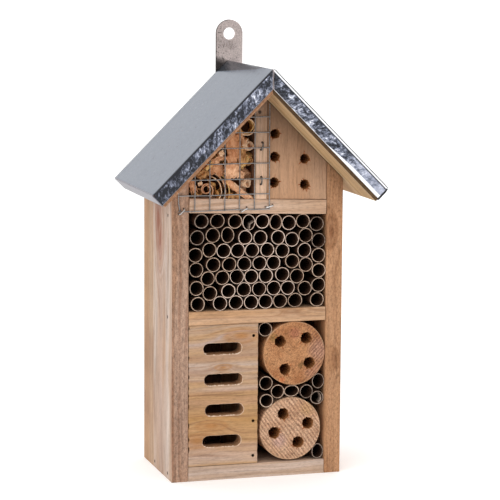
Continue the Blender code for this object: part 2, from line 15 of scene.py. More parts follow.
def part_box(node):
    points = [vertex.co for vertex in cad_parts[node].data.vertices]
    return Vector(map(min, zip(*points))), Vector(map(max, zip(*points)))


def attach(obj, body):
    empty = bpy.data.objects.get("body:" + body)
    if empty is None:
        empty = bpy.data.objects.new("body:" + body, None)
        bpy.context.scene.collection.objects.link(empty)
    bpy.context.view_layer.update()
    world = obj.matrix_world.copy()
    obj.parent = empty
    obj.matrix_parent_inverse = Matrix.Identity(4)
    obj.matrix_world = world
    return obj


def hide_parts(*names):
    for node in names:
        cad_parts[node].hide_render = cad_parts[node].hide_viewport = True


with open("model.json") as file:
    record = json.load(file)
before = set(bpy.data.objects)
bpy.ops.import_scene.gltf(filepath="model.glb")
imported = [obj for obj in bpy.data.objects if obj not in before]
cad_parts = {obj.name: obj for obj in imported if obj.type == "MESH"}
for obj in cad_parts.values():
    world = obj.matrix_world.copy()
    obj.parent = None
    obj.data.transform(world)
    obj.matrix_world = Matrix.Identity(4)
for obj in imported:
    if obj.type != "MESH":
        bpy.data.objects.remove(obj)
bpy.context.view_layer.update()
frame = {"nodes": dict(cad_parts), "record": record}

MM = 0.001
NODES = frame["nodes"]

# ---------------------------------------------------------------- places read off the frame

PANEL_LOW, PANEL_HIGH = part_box("side_panel_left")
FRONT = PANEL_LOW.y
BACK = PANEL_HIGH.y
INSIDE = -PANEL_HIGH.x
ROOF_LOW, ROOF_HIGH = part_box("roof_sheet")
ROOF_FRONT = ROOF_LOW.y
RIDGE_TOP = ROOF_HIGH.z
EAVE = ROOF_HIGH.x
PANEL_TOP = PANEL_HIGH.z
ROOT_TWO = math.sqrt(2)
UNDER_ROOF = PANEL_TOP + INSIDE  # the roof boards' underside is this high at x = 0
FOLD = 12.5 * MM  # height of the sheet's folded eaves
FRONT_FOLD = 11.5 * MM  # and of its folded front


# ---------------------------------------------------------------- building nodes and meshes


class Tree:
    """Shorthand for filling one node tree."""

    def __init__(self, tree):
        self.tree = tree

    def node(self, kind, settings=None, inputs=None):
        made = self.tree.nodes.new(kind)
        for key, value in (settings or {}).items():
            setattr(made, key, value)
        for key, value in (inputs or {}).items():
            socket = made.inputs[key]
            if isinstance(value, bpy.types.NodeSocket):
                self.tree.links.new(value, socket)
            else:
                socket.default_value = value
        return made

    def math(self, operation, *values, clamp=False):
        inputs = dict(enumerate(values))
        return self.node("ShaderNodeMath", {"operation": operation, "use_clamp": clamp}, inputs).outputs[0]

    def add(self, first, second):
        return self.math("ADD", first, second)

    def minus(self, first, second):
        return self.math("SUBTRACT", first, second)

    def times(self, first, second, clamp=False):
        return self.math("MULTIPLY", first, second, clamp=clamp)

    def over(self, first, second):
        return self.math("DIVIDE", first, second)

    def line(self, value, slope, start, clamp=False):
        """value times slope, plus start."""
        return self.math("MULTIPLY_ADD", value, slope, start, clamp=clamp)

    def less(self, first, second):
        return self.math("LESS_THAN", first, second)

    def more(self, first, second):
        return self.math("GREATER_THAN", first, second)

    def most(self, first, second):
        return self.math("MAXIMUM", first, second)

    def mix(self, share, first, second, blend="MIX"):
        made = self.node("ShaderNodeMix", {"data_type": "RGBA", "blend_type": blend})
        for key, value in ((0, share), (6, first), (7, second)):
            if isinstance(value, bpy.types.NodeSocket):
                self.tree.links.new(value, made.inputs[key])
            elif key == 0:
                made.inputs[key].default_value = value
            else:
                made.inputs[key].default_value = (*value, 1.0)
        return made.outputs[2]

    def tint(self, colour, tone):
        """A colour multiplied by another."""
        return self.mix(1.0, colour, tone, "MULTIPLY")

    def step(self, share, low, high, first=0.0, second=1.0):
        """A straight ramp that goes from first to second as share goes from low to high."""
        return self.ramp(share, ((low, first), (high, second)))

    def ramp(self, share, stops, smooth=False):
        made = self.node("ShaderNodeValToRGB", None, {"Fac": share})
        made.color_ramp.interpolation = "EASE" if smooth else "LINEAR"
        elements = made.color_ramp.elements
        while len(elements) < len(stops):
            elements.new(0.5)
        for element, (place, colour) in zip(elements, stops):
            element.position = place
            grey = isinstance(colour, (int, float))
            element.color = (colour, colour, colour, 1.0) if grey else (*colour, 1.0)
        return made.outputs["Color"]

    def vector(self, operation, *values):
        return self.node("ShaderNodeVectorMath", {"operation": operation}, dict(enumerate(values))).outputs[0]

    def length(self, vector):
        return self.node("ShaderNodeVectorMath", {"operation": "LENGTH"}, {0: vector}).outputs["Value"]

    def turned(self, vector, angle):
        """A place turned about Y, by an angle in degrees."""
        turn = {"Vector": vector, "Rotation": (0.0, math.radians(angle), 0.0)}
        return self.node("ShaderNodeMapping", None, turn).outputs["Vector"]

    def join(self, x, y, z):
        return self.node("ShaderNodeCombineXYZ", None, {0: x, 1: y, 2: z}).outputs[0]

    def split(self, vector):
        return self.node("ShaderNodeSeparateXYZ", None, {0: vector}).outputs

    def position(self):
        return self.node("ShaderNodeTexCoord").outputs["Object"]

    def scaled(self, vector, scale, offset=(0, 0, 0)):
        made = self.node("ShaderNodeMapping", None, {"Vector": vector, "Location": offset, "Scale": scale})
        return made.outputs["Vector"]

    def noise(self, vector, scale, detail=2.0, rough=0.5, distort=0.0):
        made = self.node("ShaderNodeTexNoise", None, {
            "Vector": vector, "Scale": scale, "Detail": detail, "Roughness": rough, "Distortion": distort,
        })
        return made.outputs["Fac"]

    def bump(self, height, distance, strength=1.0):
        made = self.node("ShaderNodeBump", None, {
            "Height": height, "Distance": distance, "Strength": strength,
        })
        return made.outputs["Normal"]


def new_material(name):
    """A material with an empty Principled shader, and the shorthand for its tree."""
    made = bpy.data.materials.new(name)
    made.use_nodes = True
    tree = Tree(made.node_tree)
    return made, tree, made.node_tree.nodes["Principled BSDF"]


def plug(tree, shader, **values):
    """Sets or links the shader's inputs; underscores stand for spaces."""
    for key, value in values.items():
        socket = shader.inputs[key.replace("_", " ")]
        if isinstance(value, bpy.types.NodeSocket):
            tree.tree.links.new(value, socket)
        elif isinstance(value, tuple):
            socket.default_value = (*value, 1.0)
        else:
            socket.default_value = value


def srgb(red, green, blue):
    """A colour given as 0 to 255 on screen, in the linear values that shaders use."""
    return tuple(
        v / 12.92 if v <= 0.04045 else ((v + 0.055) / 1.055) ** 2.4
        for v in (red / 255, green / 255, blue / 255)
    )


# ---------------------------------------------------------------- materials


def roof_shade(t, place):
    """Painted shade on a board close under the roof: 1 in the open, darker towards the roof boards."""
    x, _, z = t.split(place)
    below = t.minus(t.minus(UNDER_ROOF, t.math("ABSOLUTE", x)), z)
    near = t.ramp(t.over(below, 60 * MM), (
        (0.0, 0.50), (0.10, 0.64), (0.25, 0.78), (0.48, 0.90), (1.0, 1.0),
    ))
    high = t.ramp(t.over(t.minus(UNDER_ROOF, z), 70 * MM), (
        (0.0, 0.55), (0.4, 0.68), (0.7, 0.86), (1.0, 1.0),
    ))
    return t.tint(near, high)


def wood(name, grain, pale, warm, line, seed, pith, band=9.0, fine=1.8, lines=0.5, knots=(), bands=None,
         front=None, roof_shaded=False, whorl=None, slant=0.0):
    """Sawn softwood. Sizes are in mm.

    grain is the axis it runs along and pith a point on the tree's middle. Growth rings round
    the pith make broad bands from pale to warm and thin lines; knots are (place, size, push)
    that bend them, and whorl their colour. bands gives the colours across the board instead of
    pale. front is (axis, plane, tone) and tints the wood below that plane: for a sawn edge it is
    the edge's own tone, for a face in shade it is painted shade. Wood set to lie under the roof
    gets painted shade, darker close under the roof. slant turns the grain about Y, in degrees.
    """
    made, t, shader = new_material(name)
    place = t.turned(t.position(), slant)
    axis = "XYZ".index(grain)
    cross = [i for i in range(3) if i != axis]

    def stretched(vector, across, along):
        scale = [1 / (across * MM)] * 3
        scale[axis] = 1 / (along * MM)
        return t.scaled(vector, scale, (seed, seed * 2.3, seed * 3.7))

    drift = t.node("ShaderNodeTexNoise", None, {"Vector": stretched(place, 40, 130), "Scale": 1.0})
    sway = t.vector("SUBTRACT", drift.outputs["Color"], (0.5, 0.5, 0.5))
    bent = t.vector("MULTIPLY_ADD", sway, (12 * MM,) * 3, place)
    split = t.split(bent)
    first = t.minus(split[cross[0]], pith[0] * MM)
    second = t.minus(split[cross[1]], pith[1] * MM)
    radius = t.math("SQRT", t.add(t.times(first, first), t.times(second, second)))
    heart = 0.0
    swirl = 0.0
    sideways = 0.0
    for middle, size, push in knots:
        away = t.vector("SUBTRACT", bent, tuple(v * MM for v in middle))
        squeeze = [1 / (size * MM)] * 3
        squeeze[axis] *= 0.4
        away = t.scaled(away, squeeze)
        reach = t.length(away)
        hill = t.math("EXPONENT", t.times(t.times(reach, reach), -1.0))
        radius = t.line(hill, push * MM, radius)
        sideways = t.line(hill, push * 0.35 * MM, sideways)
        heart = t.most(heart, t.math("POWER", hill, 3.0))
        turns = t.math("SINE", t.times(reach, 11.0))
        swirl = t.most(swirl, t.times(hill, t.line(turns, 0.5, 0.5)))
    along = split[axis]

    def ringed(width, length, detail):
        combined = t.join(t.over(radius, width * MM), t.over(along, length * MM), seed * 1.7)
        return t.noise(combined, 1.0, detail, 0.6)

    body = pale
    if bands:
        name_of, low, high, stops = bands
        here = t.minus(split["XYZ".index(name_of)], sideways)
        share = t.over(t.minus(here, low), high - low)
        body = t.ramp(share, stops, smooth=True)
    colour = t.mix(t.step(ringed(band, 260, 2.0), 0.40, 0.62, 0.0, 0.85), body, warm)
    thin = t.step(ringed(fine, 120, 2.0), 0.50, 0.68)
    colour = t.mix(t.times(thin, lines), colour, line)
    if knots:
        colour = t.mix(t.times(swirl, 0.8), colour, whorl or line)
        colour = t.mix(t.times(heart, 0.75), colour, whorl or line)
    cloud = t.noise(stretched(place, 22, 60), 1.0, 2.0)
    streak = t.noise(stretched(bent, 1.6, 38), 1.0, 3.0, 0.6)
    speck = t.noise(stretched(place, 1.2, 4.5), 1.0, 3.0, 0.75)
    colour = t.tint(colour, t.step(cloud, 0.3, 0.7, 0.90, 1.0))
    colour = t.tint(colour, t.ramp(streak, ((0.3, 0.74), (0.5, 0.97), (0.7, 1.05))))
    colour = t.tint(colour, t.ramp(speck, ((0.28, 0.76), (0.5, 0.98), (0.7, 1.06))))
    if front:
        front_axis, plane, front_tone = front
        facing = t.less(t.split(place)["XYZ".index(front_axis)], plane)
        rough_cut = t.noise(stretched(place, 1.5, 2.6), 1.0, 3.0, 0.8)
        tone = t.ramp(rough_cut, (
            (0.32, tuple(v * 0.62 for v in front_tone)), (0.5, front_tone),
            (0.68, tuple(min(1.0, v * 1.3) for v in front_tone)),
        ))
        colour = t.mix(facing, colour, t.tint(colour, tone))
    # painted shade close under the roof
    if roof_shaded:
        colour = t.tint(colour, roof_shade(t, place))
    height = t.add(t.times(streak, 0.5), t.times(speck, 0.5))
    plug(t, shader, Base_Color=colour, Normal=t.bump(height, 0.16 * MM, 0.8),
         Roughness=t.line(speck, 0.2, 0.65), Specular_IOR_Level=0.22)
    return made


def end_grain(name, light, warm, dark, centre, radius, saw, marks, seed):
    """The sawn face of a branch: fibrous stipple, saw marks and stains.

    saw is (the marks' angle in degrees, their gap, how far right of the middle they start) and
    marks are stains (x, z, size, colour), in mm.
    """
    made, t, shader = new_material(name)
    place = t.position()
    angle, gap, start = saw
    moved = t.scaled(place, (1, 1, 1), (seed, seed, seed))
    swirl = t.noise(moved, 620.0, 3.0, 0.7, 1.2)
    grit = t.noise(moved, 1500.0, 2.0, 0.7)
    blotch = t.noise(moved, 75.0, 3.0)
    turned = t.turned(place, angle)
    wobble = t.noise(t.scaled(turned, (60, 60, 18), (seed, 0, 0)), 1.0, 2.0)
    across = t.split(turned)[0]
    wave = t.math("SINE", t.line(across, 2 * math.pi / (gap * MM), t.times(wobble, 14.0)))
    notch = t.step(t.line(wave, 0.5, 0.5), 0.30, 0.80)
    broken = t.ramp(t.noise(t.scaled(turned, (300, 300, 70)), 1.0, 3.0, 0.7), ((0.30, 0.35), (0.58, 1.0)))
    x, y, _ = t.split(place)
    reach = t.line(t.minus(x, centre[0] + start * MM), 1 / (5 * MM), t.line(blotch, 4.0, -2.0), clamp=True)
    saw_share = t.times(t.times(notch, reach), broken)
    colour = t.mix(t.step(blotch, 0.36, 0.64), light, warm)
    for mark_x, mark_z, size, stain in marks:
        away = t.vector("SUBTRACT", place, (mark_x * MM, FRONT, mark_z * MM))
        blur = t.line(swirl, 2 * MM, t.length(away))
        near = t.step(t.over(blur, 2 * size * MM), 0.35, 0.75, 1.0, 0.0)
        colour = t.mix(t.times(near, 0.75), colour, stain)
    colour = t.mix(t.times(saw_share, 0.6), colour, dark)
    stipple = t.ramp(swirl, ((0.36, 0.45), (0.48, 0.82), (0.62, 1.15)))
    colour = t.tint(colour, stipple)
    colour = t.tint(colour, t.step(grit, 0.3, 0.6, 0.72, 1.0))
    from_middle = t.vector("SUBTRACT", place, (centre[0], 0.0, centre[1]))
    aside = t.length(t.scaled(from_middle, (1, 0, 1)))
    rim = t.step(t.over(aside, radius), 0.965, 0.99)
    patchy = t.step(blotch, 0.40, 0.60, 0.05, 0.38)
    front_only = t.less(y, FRONT + 2 * MM)
    colour = t.mix(t.times(t.times(rim, patchy), front_only), colour, srgb(228, 194, 156))
    height = t.minus(swirl, t.times(saw_share, 0.8))
    plug(t, shader, Base_Color=colour, Normal=t.bump(height, 0.4 * MM, 0.9), Roughness=0.85,
         Specular_IOR_Level=0.2)
    return made


def fuzzy(name, light, dark, grain_scale=(1, 0.2, 1)):
    """Torn wood fibre: the walls of bores and the lips of sawn openings."""
    made, t, shader = new_material(name)
    fuzz = t.noise(t.scaled(t.position(), grain_scale), 1900.0, 2.0, 0.7)
    colour = t.ramp(fuzz, ((0.32, dark), (0.66, light)))
    plug(t, shader, Base_Color=colour, Normal=t.bump(fuzz, 0.2 * MM), Roughness=0.92, Specular_IOR_Level=0.1)
    return made


def paper(name, light, dark, scale):
    """Brown wound paper."""
    made, t, shader = new_material(name)
    place = t.position()
    mottle = t.noise(place, scale, 3.0, 0.6)
    slow = t.noise(place, 110.0, 1.0)
    colour = t.mix(t.step(mottle, 0.35, 0.65), dark, light)
    colour = t.tint(colour, t.step(slow, 0.3, 0.65, 0.72, 1.0))
    plug(t, shader, Base_Color=colour, Normal=t.bump(mottle, 0.1 * MM, 0.6), Roughness=0.9,
         Specular_IOR_Level=0.15)
    return made


def shaving_wood(name, light, dark, seed):
    """Thin planed wood, streaked and blotched."""
    made, t, shader = new_material(name)
    place = t.scaled(t.position(), (1, 1, 1), (seed, seed, seed))
    streak = t.noise(t.scaled(place, (640, 130, 360)), 1.0, 3.0, 0.7)
    blotch = t.noise(place, 160.0, 3.0)
    share = t.add(t.times(streak, 0.55), t.times(blotch, 0.45))
    colour = t.ramp(share, ((0.38, dark), (0.60, light)))
    plug(t, shader, Base_Color=colour, Normal=t.bump(streak, 0.35 * MM), Roughness=0.75,
         Specular_IOR_Level=0.3)
    return made


RIM_HEIGHT = 0.75 * MM
SHADE_REACH = 14 * MM  # the hanger's reflection darkens the left slope this far from the ridge


def slope_place(t):
    """Distance from the ridge along a roof slope, negative on the left, and depth below it."""
    x, y, z = t.split(t.position())
    fall = t.minus(RIDGE_TOP, z)
    side = t.math("ABSOLUTE", x)
    along = t.times(t.add(fall, side), 1 / ROOT_TWO)
    depth = t.times(t.minus(fall, side), 1 / ROOT_TWO)
    return t.times(along, t.math("SIGN", x)), y, depth


def zinc_slope(name, light, dark, rough):
    """The broad faces of the galvanised sheet: a soft mirror with faint marks and, left of the
    ridge, the dark wedge that the hanger's reflection makes in the photo."""
    made, t, shader = new_material(name)
    place = t.position()
    frost = t.noise(place, 420.0, 3.0, 0.6)
    mark = t.noise(t.scaled(place, (1, 1, 1), (3, 1, 2)), 190.0, 2.0)
    colour = t.mix(t.step(frost, 0.3, 0.7), dark, light)
    colour = t.tint(colour, t.step(mark, 0.24, 0.34, 0.72, 1.0))
    flake = t.noise(t.scaled(place, (1, 1, 1), (7, 5, 9)), 300.0, 1.0)
    colour = t.mix(t.step(flake, 0.755, 0.79, 0.0, 0.5), colour, srgb(170, 176, 188))
    along, y, _ = slope_place(t)
    back = t.line(y, 1 / (BACK - ROOF_FRONT), -ROOF_FRONT / (BACK - ROOF_FRONT))
    inside = t.line(back, SHADE_REACH, along)
    left = t.less(along, 0.0)
    shade = t.times(t.times(inside, 1 / (0.8 * MM), clamp=True), left)
    shade = t.times(shade, t.ramp(back, ((0.16, 0.0), (0.34, 0.7), (0.8, 1.0))))
    dusk = t.mix(t.step(mark, 0.35, 0.65), srgb(34, 38, 40), srgb(60, 60, 64))
    colour = t.mix(t.times(shade, 0.8), colour, dusk)
    plug(t, shader, Base_Color=colour, Metallic=0.35, Specular_IOR_Level=0.15,
         Roughness=t.line(frost, 0.06, rough),
         Normal=t.bump(t.noise(place, 45.0, 2.0), 0.2 * MM, 0.5))
    return made


FOLD_REFLECTION_LEVELS = (  # (place from the left eave at 0 to the right one at 1, brightness of the painted reflection)
    (0.0, 0.0), (0.10, 0.07), (0.20, 0.13), (0.27, 0.28), (0.33, 0.23), (0.38, 0.24), (0.435, 0.28),
    (0.49, 0.34), (0.505, -0.30), (0.567, 0.08), (0.62, 0.38), (0.674, 0.50), (0.727, 0.37),
    (0.78, 0.26), (0.833, 0.42), (0.887, 0.54), (0.94, 0.60), (1.0, 0.70),
)


def zinc_fold(name):
    """The sheet's front folds, where its spangle shows: dark crystals with pale feathers under a painted
    reflection that is darker to the left, painted dark lines along the folds' tops, a painted highlight along
    the right fold's top, a painted highlight on the bottom edge that widens down the right slope, and painted
    shadow at the right eave's tip."""
    made, t, shader = new_material(name)
    along, _, depth = slope_place(t)
    flat = t.join(t.line(depth, 0.45, along), 0.0, depth)
    feather = t.noise(t.scaled(flat, (980, 1, 460)), 1.0, 3.0, 0.7, 0.5)
    blotch = t.noise(flat, 290.0, 3.0, 0.65, 0.4)
    cloud = t.noise(flat, 110.0, 1.0)
    reach = t.line(along, 0.5 / (EAVE * ROOT_TWO), 0.5)
    # painted reflection: the folds' brightness climbs from the left eave to the right one
    level = t.ramp(reach, FOLD_REFLECTION_LEVELS)
    share = t.add(t.line(feather, 1.6, -0.8), t.line(blotch, 2.6, -1.3))
    share = t.add(share, t.line(cloud, 1.3, -0.65))
    calm = t.ramp(reach, ((0.0, 0.85), (0.2, 1.0), (0.82, 1.0), (0.92, 0.45), (1.0, 0.3)))
    share = t.line(share, calm, level)
    colour = t.ramp(share, ((0.0, srgb(24, 27, 36)), (0.25, srgb(74, 78, 92)), (0.5, srgb(124, 130, 148)),
                            (0.75, srgb(188, 192, 210)), (1.0, srgb(248, 249, 252))))
    # painted dark lines along the folds' tops
    right = t.more(along, 0.0)
    edge = t.less(depth, t.line(right, 0.95 * MM, 1.25 * MM))
    colour = t.mix(edge, colour, srgb(26, 28, 36))
    # painted highlight along the right fold's top
    turned = t.times(right, t.less(depth, 1.3 * MM))
    colour = t.mix(turned, colour, srgb(246, 247, 250))
    # the hem: pale grey on the left, a painted highlight on the right that widens towards the eave
    width = t.times(t.line(along, 1 / (34 * MM), -2.1, clamp=True), 2.8 * MM)
    wide = t.most(width, t.times(blotch, 0.5 * MM))
    hem = t.more(depth, t.minus(FRONT_FOLD, wide))
    colour = t.mix(hem, colour, t.mix(right, srgb(150, 150, 156), srgb(250, 251, 253)))
    # painted shadow at the right eave's tip
    tip = t.more(along, EAVE * ROOT_TWO - 1.9 * MM)
    colour = t.mix(tip, colour, srgb(12, 12, 16))
    seam = t.less(t.math("ABSOLUTE", t.split(t.position())[0]), 0.6 * MM)
    colour = t.mix(t.times(seam, 0.7), colour, srgb(216, 204, 206))
    plug(t, shader, Base_Color=colour, Metallic=0.3, Roughness=0.42,
         Normal=t.bump(feather, 0.05 * MM, 0.5))
    return made


def zinc_rim(name):
    """The narrow rim that stands along the right slope's front edge: a painted highlight, with painted shade
    on its crest.
    """
    made, t, shader = new_material(name)
    _, _, depth = slope_place(t)
    frost = t.noise(t.position(), 500.0, 2.0)
    bright = t.mix(t.step(frost, 0.3, 0.7), srgb(236, 238, 242), srgb(252, 252, 253))
    # painted shade on the crest over the painted highlight
    crest = t.less(depth, -0.1 * MM)
    plug(t, shader, Base_Color=t.mix(crest, bright, srgb(18, 19, 24)), Metallic=0.2, Roughness=0.4)
    return made


def dull_metal(name, light, dark, scale, metallic=0.8, rough=0.45):
    """Stippled, dull metal."""
    made, t, shader = new_material(name)
    place = t.position()
    speck = t.noise(place, scale, 3.0, 0.75)
    cloud = t.noise(place, scale / 12, 2.0)
    share = t.add(t.times(speck, 0.6), t.times(cloud, 0.4))
    colour = t.ramp(share, ((0.35, dark), (0.65, light)))
    plug(t, shader, Base_Color=colour, Metallic=metallic,
         Roughness=t.line(speck, 0.2, rough - 0.1), Normal=t.bump(speck, 0.05 * MM, 0.5))
    return made


def hanger_metal(name, middle, shoulder, half, core):
    """Stippled steel with dark pits; its front is outlined on the left and dark at the roof. middle is
    the plate's centre line, shoulder its rounded top's centre, half its half width, core its mid-plane."""
    made, t, shader = new_material(name)
    place = t.position()
    x, y, z = t.split(place)
    speck = t.noise(place, 800.0, 3.0, 0.75)
    cloud = t.noise(place, 66.0, 2.0)
    share = t.add(t.times(speck, 0.6), t.times(cloud, 0.4))
    colour = t.ramp(share, ((0.35, srgb(142, 130, 126)), (0.65, srgb(222, 206, 202))))
    aside = t.minus(middle, x)
    pit = t.minus(t.noise(place, 620.0, 2.0), t.times(aside, 4.0))
    colour = t.tint(colour, t.step(pit, 0.30, 0.37, 0.35, 1.0))
    above = t.most(t.minus(z, shoulder), 0.0)
    reach = t.math("SQRT", t.add(t.times(aside, aside), t.times(above, above)))
    rim = t.times(t.more(reach, half - 0.5 * MM), t.more(aside, 0.0))
    colour = t.mix(t.times(rim, 0.75), colour, srgb(40, 36, 34))
    # painted shade on the plate's front, darkest at its foot where it meets the roof and towards the left
    foot = t.line(t.minus(z, RIDGE_TOP), 1 / (9 * MM), 0.9)
    foot = t.minus(foot, t.times(aside, 1 / (22 * MM)))
    ahead = t.less(y, core)
    shaded = t.tint(colour, t.ramp(foot, ((0.2, 0.10), (0.55, 0.42), (0.85, 1.0))))
    colour = t.mix(ahead, colour, shaded)
    plug(t, shader, Base_Color=colour, Metallic=0.3,
         Roughness=t.line(speck, 0.2, 0.4), Normal=t.bump(speck, 0.05 * MM, 0.5))
    return made


# ---------------------------------------------------------------- making pieces


def finish_piece(piece, node, materials, smooth=40):
    """Gives a piece its materials, rounds its shading and fixes it to the case in node's place."""
    for made in materials:
        piece.data.materials.append(made)
    if smooth is not None:
        piece.data.shade_smooth()
        piece.data.set_sharp_from_angle(angle=math.radians(smooth))
    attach(piece, "root")
    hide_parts(node)


def object_from(name, bm):
    bmesh.ops.recalc_face_normals(bm, faces=bm.faces)
    mesh = bpy.data.meshes.new(name)
    bm.to_mesh(mesh)
    bm.free()
    made = bpy.data.objects.new(name, mesh)
    bpy.context.scene.collection.objects.link(made)
    return made


def skin(bm, first, second, material=0, closed=True):
    """Quads between two rows of vertices."""
    count = len(first) if closed else len(first) - 1
    for i in range(count):
        j = (i + 1) % len(first)
        face = bm.faces.new((first[i], first[j], second[j], second[i]))
        face.material_index = material


def skin_rows(bm, rows, closed=True):
    """Quads between each row of vertices and the next."""
    for first, second in zip(rows, rows[1:]):
        skin(bm, first, second, closed=closed)


def thicken(piece, name, thickness, offset=-1):
    """Gives a single layer of faces its thickness."""
    thick = piece.modifiers.new(name, "SOLIDIFY")
    thick.thickness = thickness
    thick.offset = offset
    return thick


def thin_sheet(name, rows, thickness, offset=-1):
    """A thin piece through rows of places."""
    bm = bmesh.new()
    skin_rows(bm, [ring_of(bm, row) for row in rows], closed=False)
    piece = object_from(name, bm)
    thicken(piece, "thickness", thickness, offset)
    return piece


def spread(low, high, count):
    """Evenly spaced values from low to high, with count steps between them."""
    return [low + (high - low) * i / count for i in range(count + 1)]


def ripple(x, y, z):
    """Smooth noise between about -1 and 1."""
    return noise.noise(Vector((x, y, z)))


def from_case(place):
    """A place given in mm from the case's middle, its front and its foot."""
    return Vector((place[0] * MM, FRONT + place[1] * MM, place[2] * MM))


def ring_of(bm, points):
    return [bm.verts.new(p) for p in points]


def fill_between(bm, loops):
    """Fills the flat area inside the first loop of vertices and outside the others."""
    edges = []
    for loop in loops:
        for i in range(len(loop)):
            pair = (loop[i], loop[(i + 1) % len(loop)])
            edges.append(bm.edges.get(pair) or bm.edges.new(pair))
    bmesh.ops.triangle_fill(bm, use_beauty=True, use_dissolve=False, edges=edges)


def circle(centre, radius, count, rag=0.0, seed=0.0, fine=6.0):
    """Points (x, z) round a centre; rag is how far the edge wanders."""
    points = []
    for i in range(count):
        turn = 2 * math.pi * i / count
        wander = ripple(fine * math.cos(turn) + seed, fine * math.sin(turn), seed)
        reach = radius + rag * wander
        points.append((centre[0] + reach * math.cos(turn), centre[1] + reach * math.sin(turn)))
    return points


def shrunk(points, by):
    """A closed outline moved inwards by a distance; the points run anticlockwise."""
    moved = []
    for i, point in enumerate(points):
        before, after = Vector(points[i - 1]), Vector(points[(i + 1) % len(points)])
        along = (after - before).normalized()
        moved.append((point[0] - along.y * by, point[1] + along.x * by))
    return moved


def drilled_solid(name, outline, holes, front, back, edge, lip, through=False):
    """A block with an outline of (x, z) points and bores from the front.

    Each hole is (points, depth); its mouth is opened out by lip. Faces carry material 0 at
    the front, 1 on the bores' walls and 2 on their lips.
    """
    bm = bmesh.new()
    rim = shrunk(outline, edge)
    face = ring_of(bm, [(x, front, z) for x, z in rim])
    shoulder = ring_of(bm, [(x, front + edge, z) for x, z in outline])
    heel = ring_of(bm, [(x, back - edge, z) for x, z in outline])
    rear = ring_of(bm, [(x, back, z) for x, z in rim])
    skin(bm, face, shoulder)
    skin(bm, shoulder, heel)
    skin(bm, heel, rear)
    mouths = []
    exits = []
    for points, depth in holes:
        mouth = ring_of(bm, [(x, front, z) for x, z in shrunk(points, -lip)])
        wall = ring_of(bm, [(x, front + 2 * lip, z) for x, z in points])
        skin(bm, mouth, wall, 2)
        mouths.append(mouth)
        if through:
            far = ring_of(bm, [(x, back, z) for x, z in points])
            skin(bm, wall, far, 1)
            exits.append(far)
        else:
            far = ring_of(bm, [(x, front + depth, z) for x, z in points])
            skin(bm, wall, far, 1)
            bottom = bm.faces.new(far)
            bottom.material_index = 1
    fill_between(bm, [face] + mouths)
    fill_between(bm, [rear] + exits)
    return object_from(name, bm)


# ---------------------------------------------------------------- the boards kept from the frame

BANDS_FROM = 0.012  # the slotted panel's colour bands run from this height
BANDS_TO = 0.131  # to this one
SIDE_BANDS = ("Y", FRONT, BACK, (
    (0.0, srgb(206, 184, 170)), (0.10, srgb(216, 201, 190)), (0.20, srgb(197, 178, 166)),
    (0.40, srgb(192, 167, 153)), (0.60, srgb(197, 179, 166)), (0.655, srgb(196, 172, 152)),
    (0.675, srgb(166, 128, 92)), (0.70, srgb(184, 158, 134)), (0.88, srgb(180, 140, 104)),
    (1.0, srgb(188, 150, 114)),
))
PANEL_BANDS = ("Z", BANDS_FROM, BANDS_TO, (
    (0.0, srgb(202, 176, 160)), (0.12, srgb(190, 156, 130)), (0.20, srgb(196, 152, 110)),
    (0.33, srgb(188, 144, 94)), (0.46, srgb(190, 148, 114)), (0.52, srgb(180, 138, 106)),
    (0.56, srgb(196, 170, 156)), (0.73, srgb(194, 170, 154)), (0.77, srgb(182, 146, 118)),
    (0.82, srgb(180, 150, 130)), (0.90, srgb(188, 167, 160)), (1.0, srgb(186, 165, 152)),
))
SHELF_BANDS = ("X", -INSIDE, INSIDE, (
    (0.0, srgb(224, 192, 168)), (0.55, srgb(222, 192, 170)), (0.70, srgb(210, 178, 152)),
    (1.0, srgb(202, 166, 136)),
))
CASE_CUT = FRONT + 0.25 * MM  # wood in front of this plane belongs to a board's sawn front edge
ROOF_CUT = ROOF_FRONT + 1.3 * MM

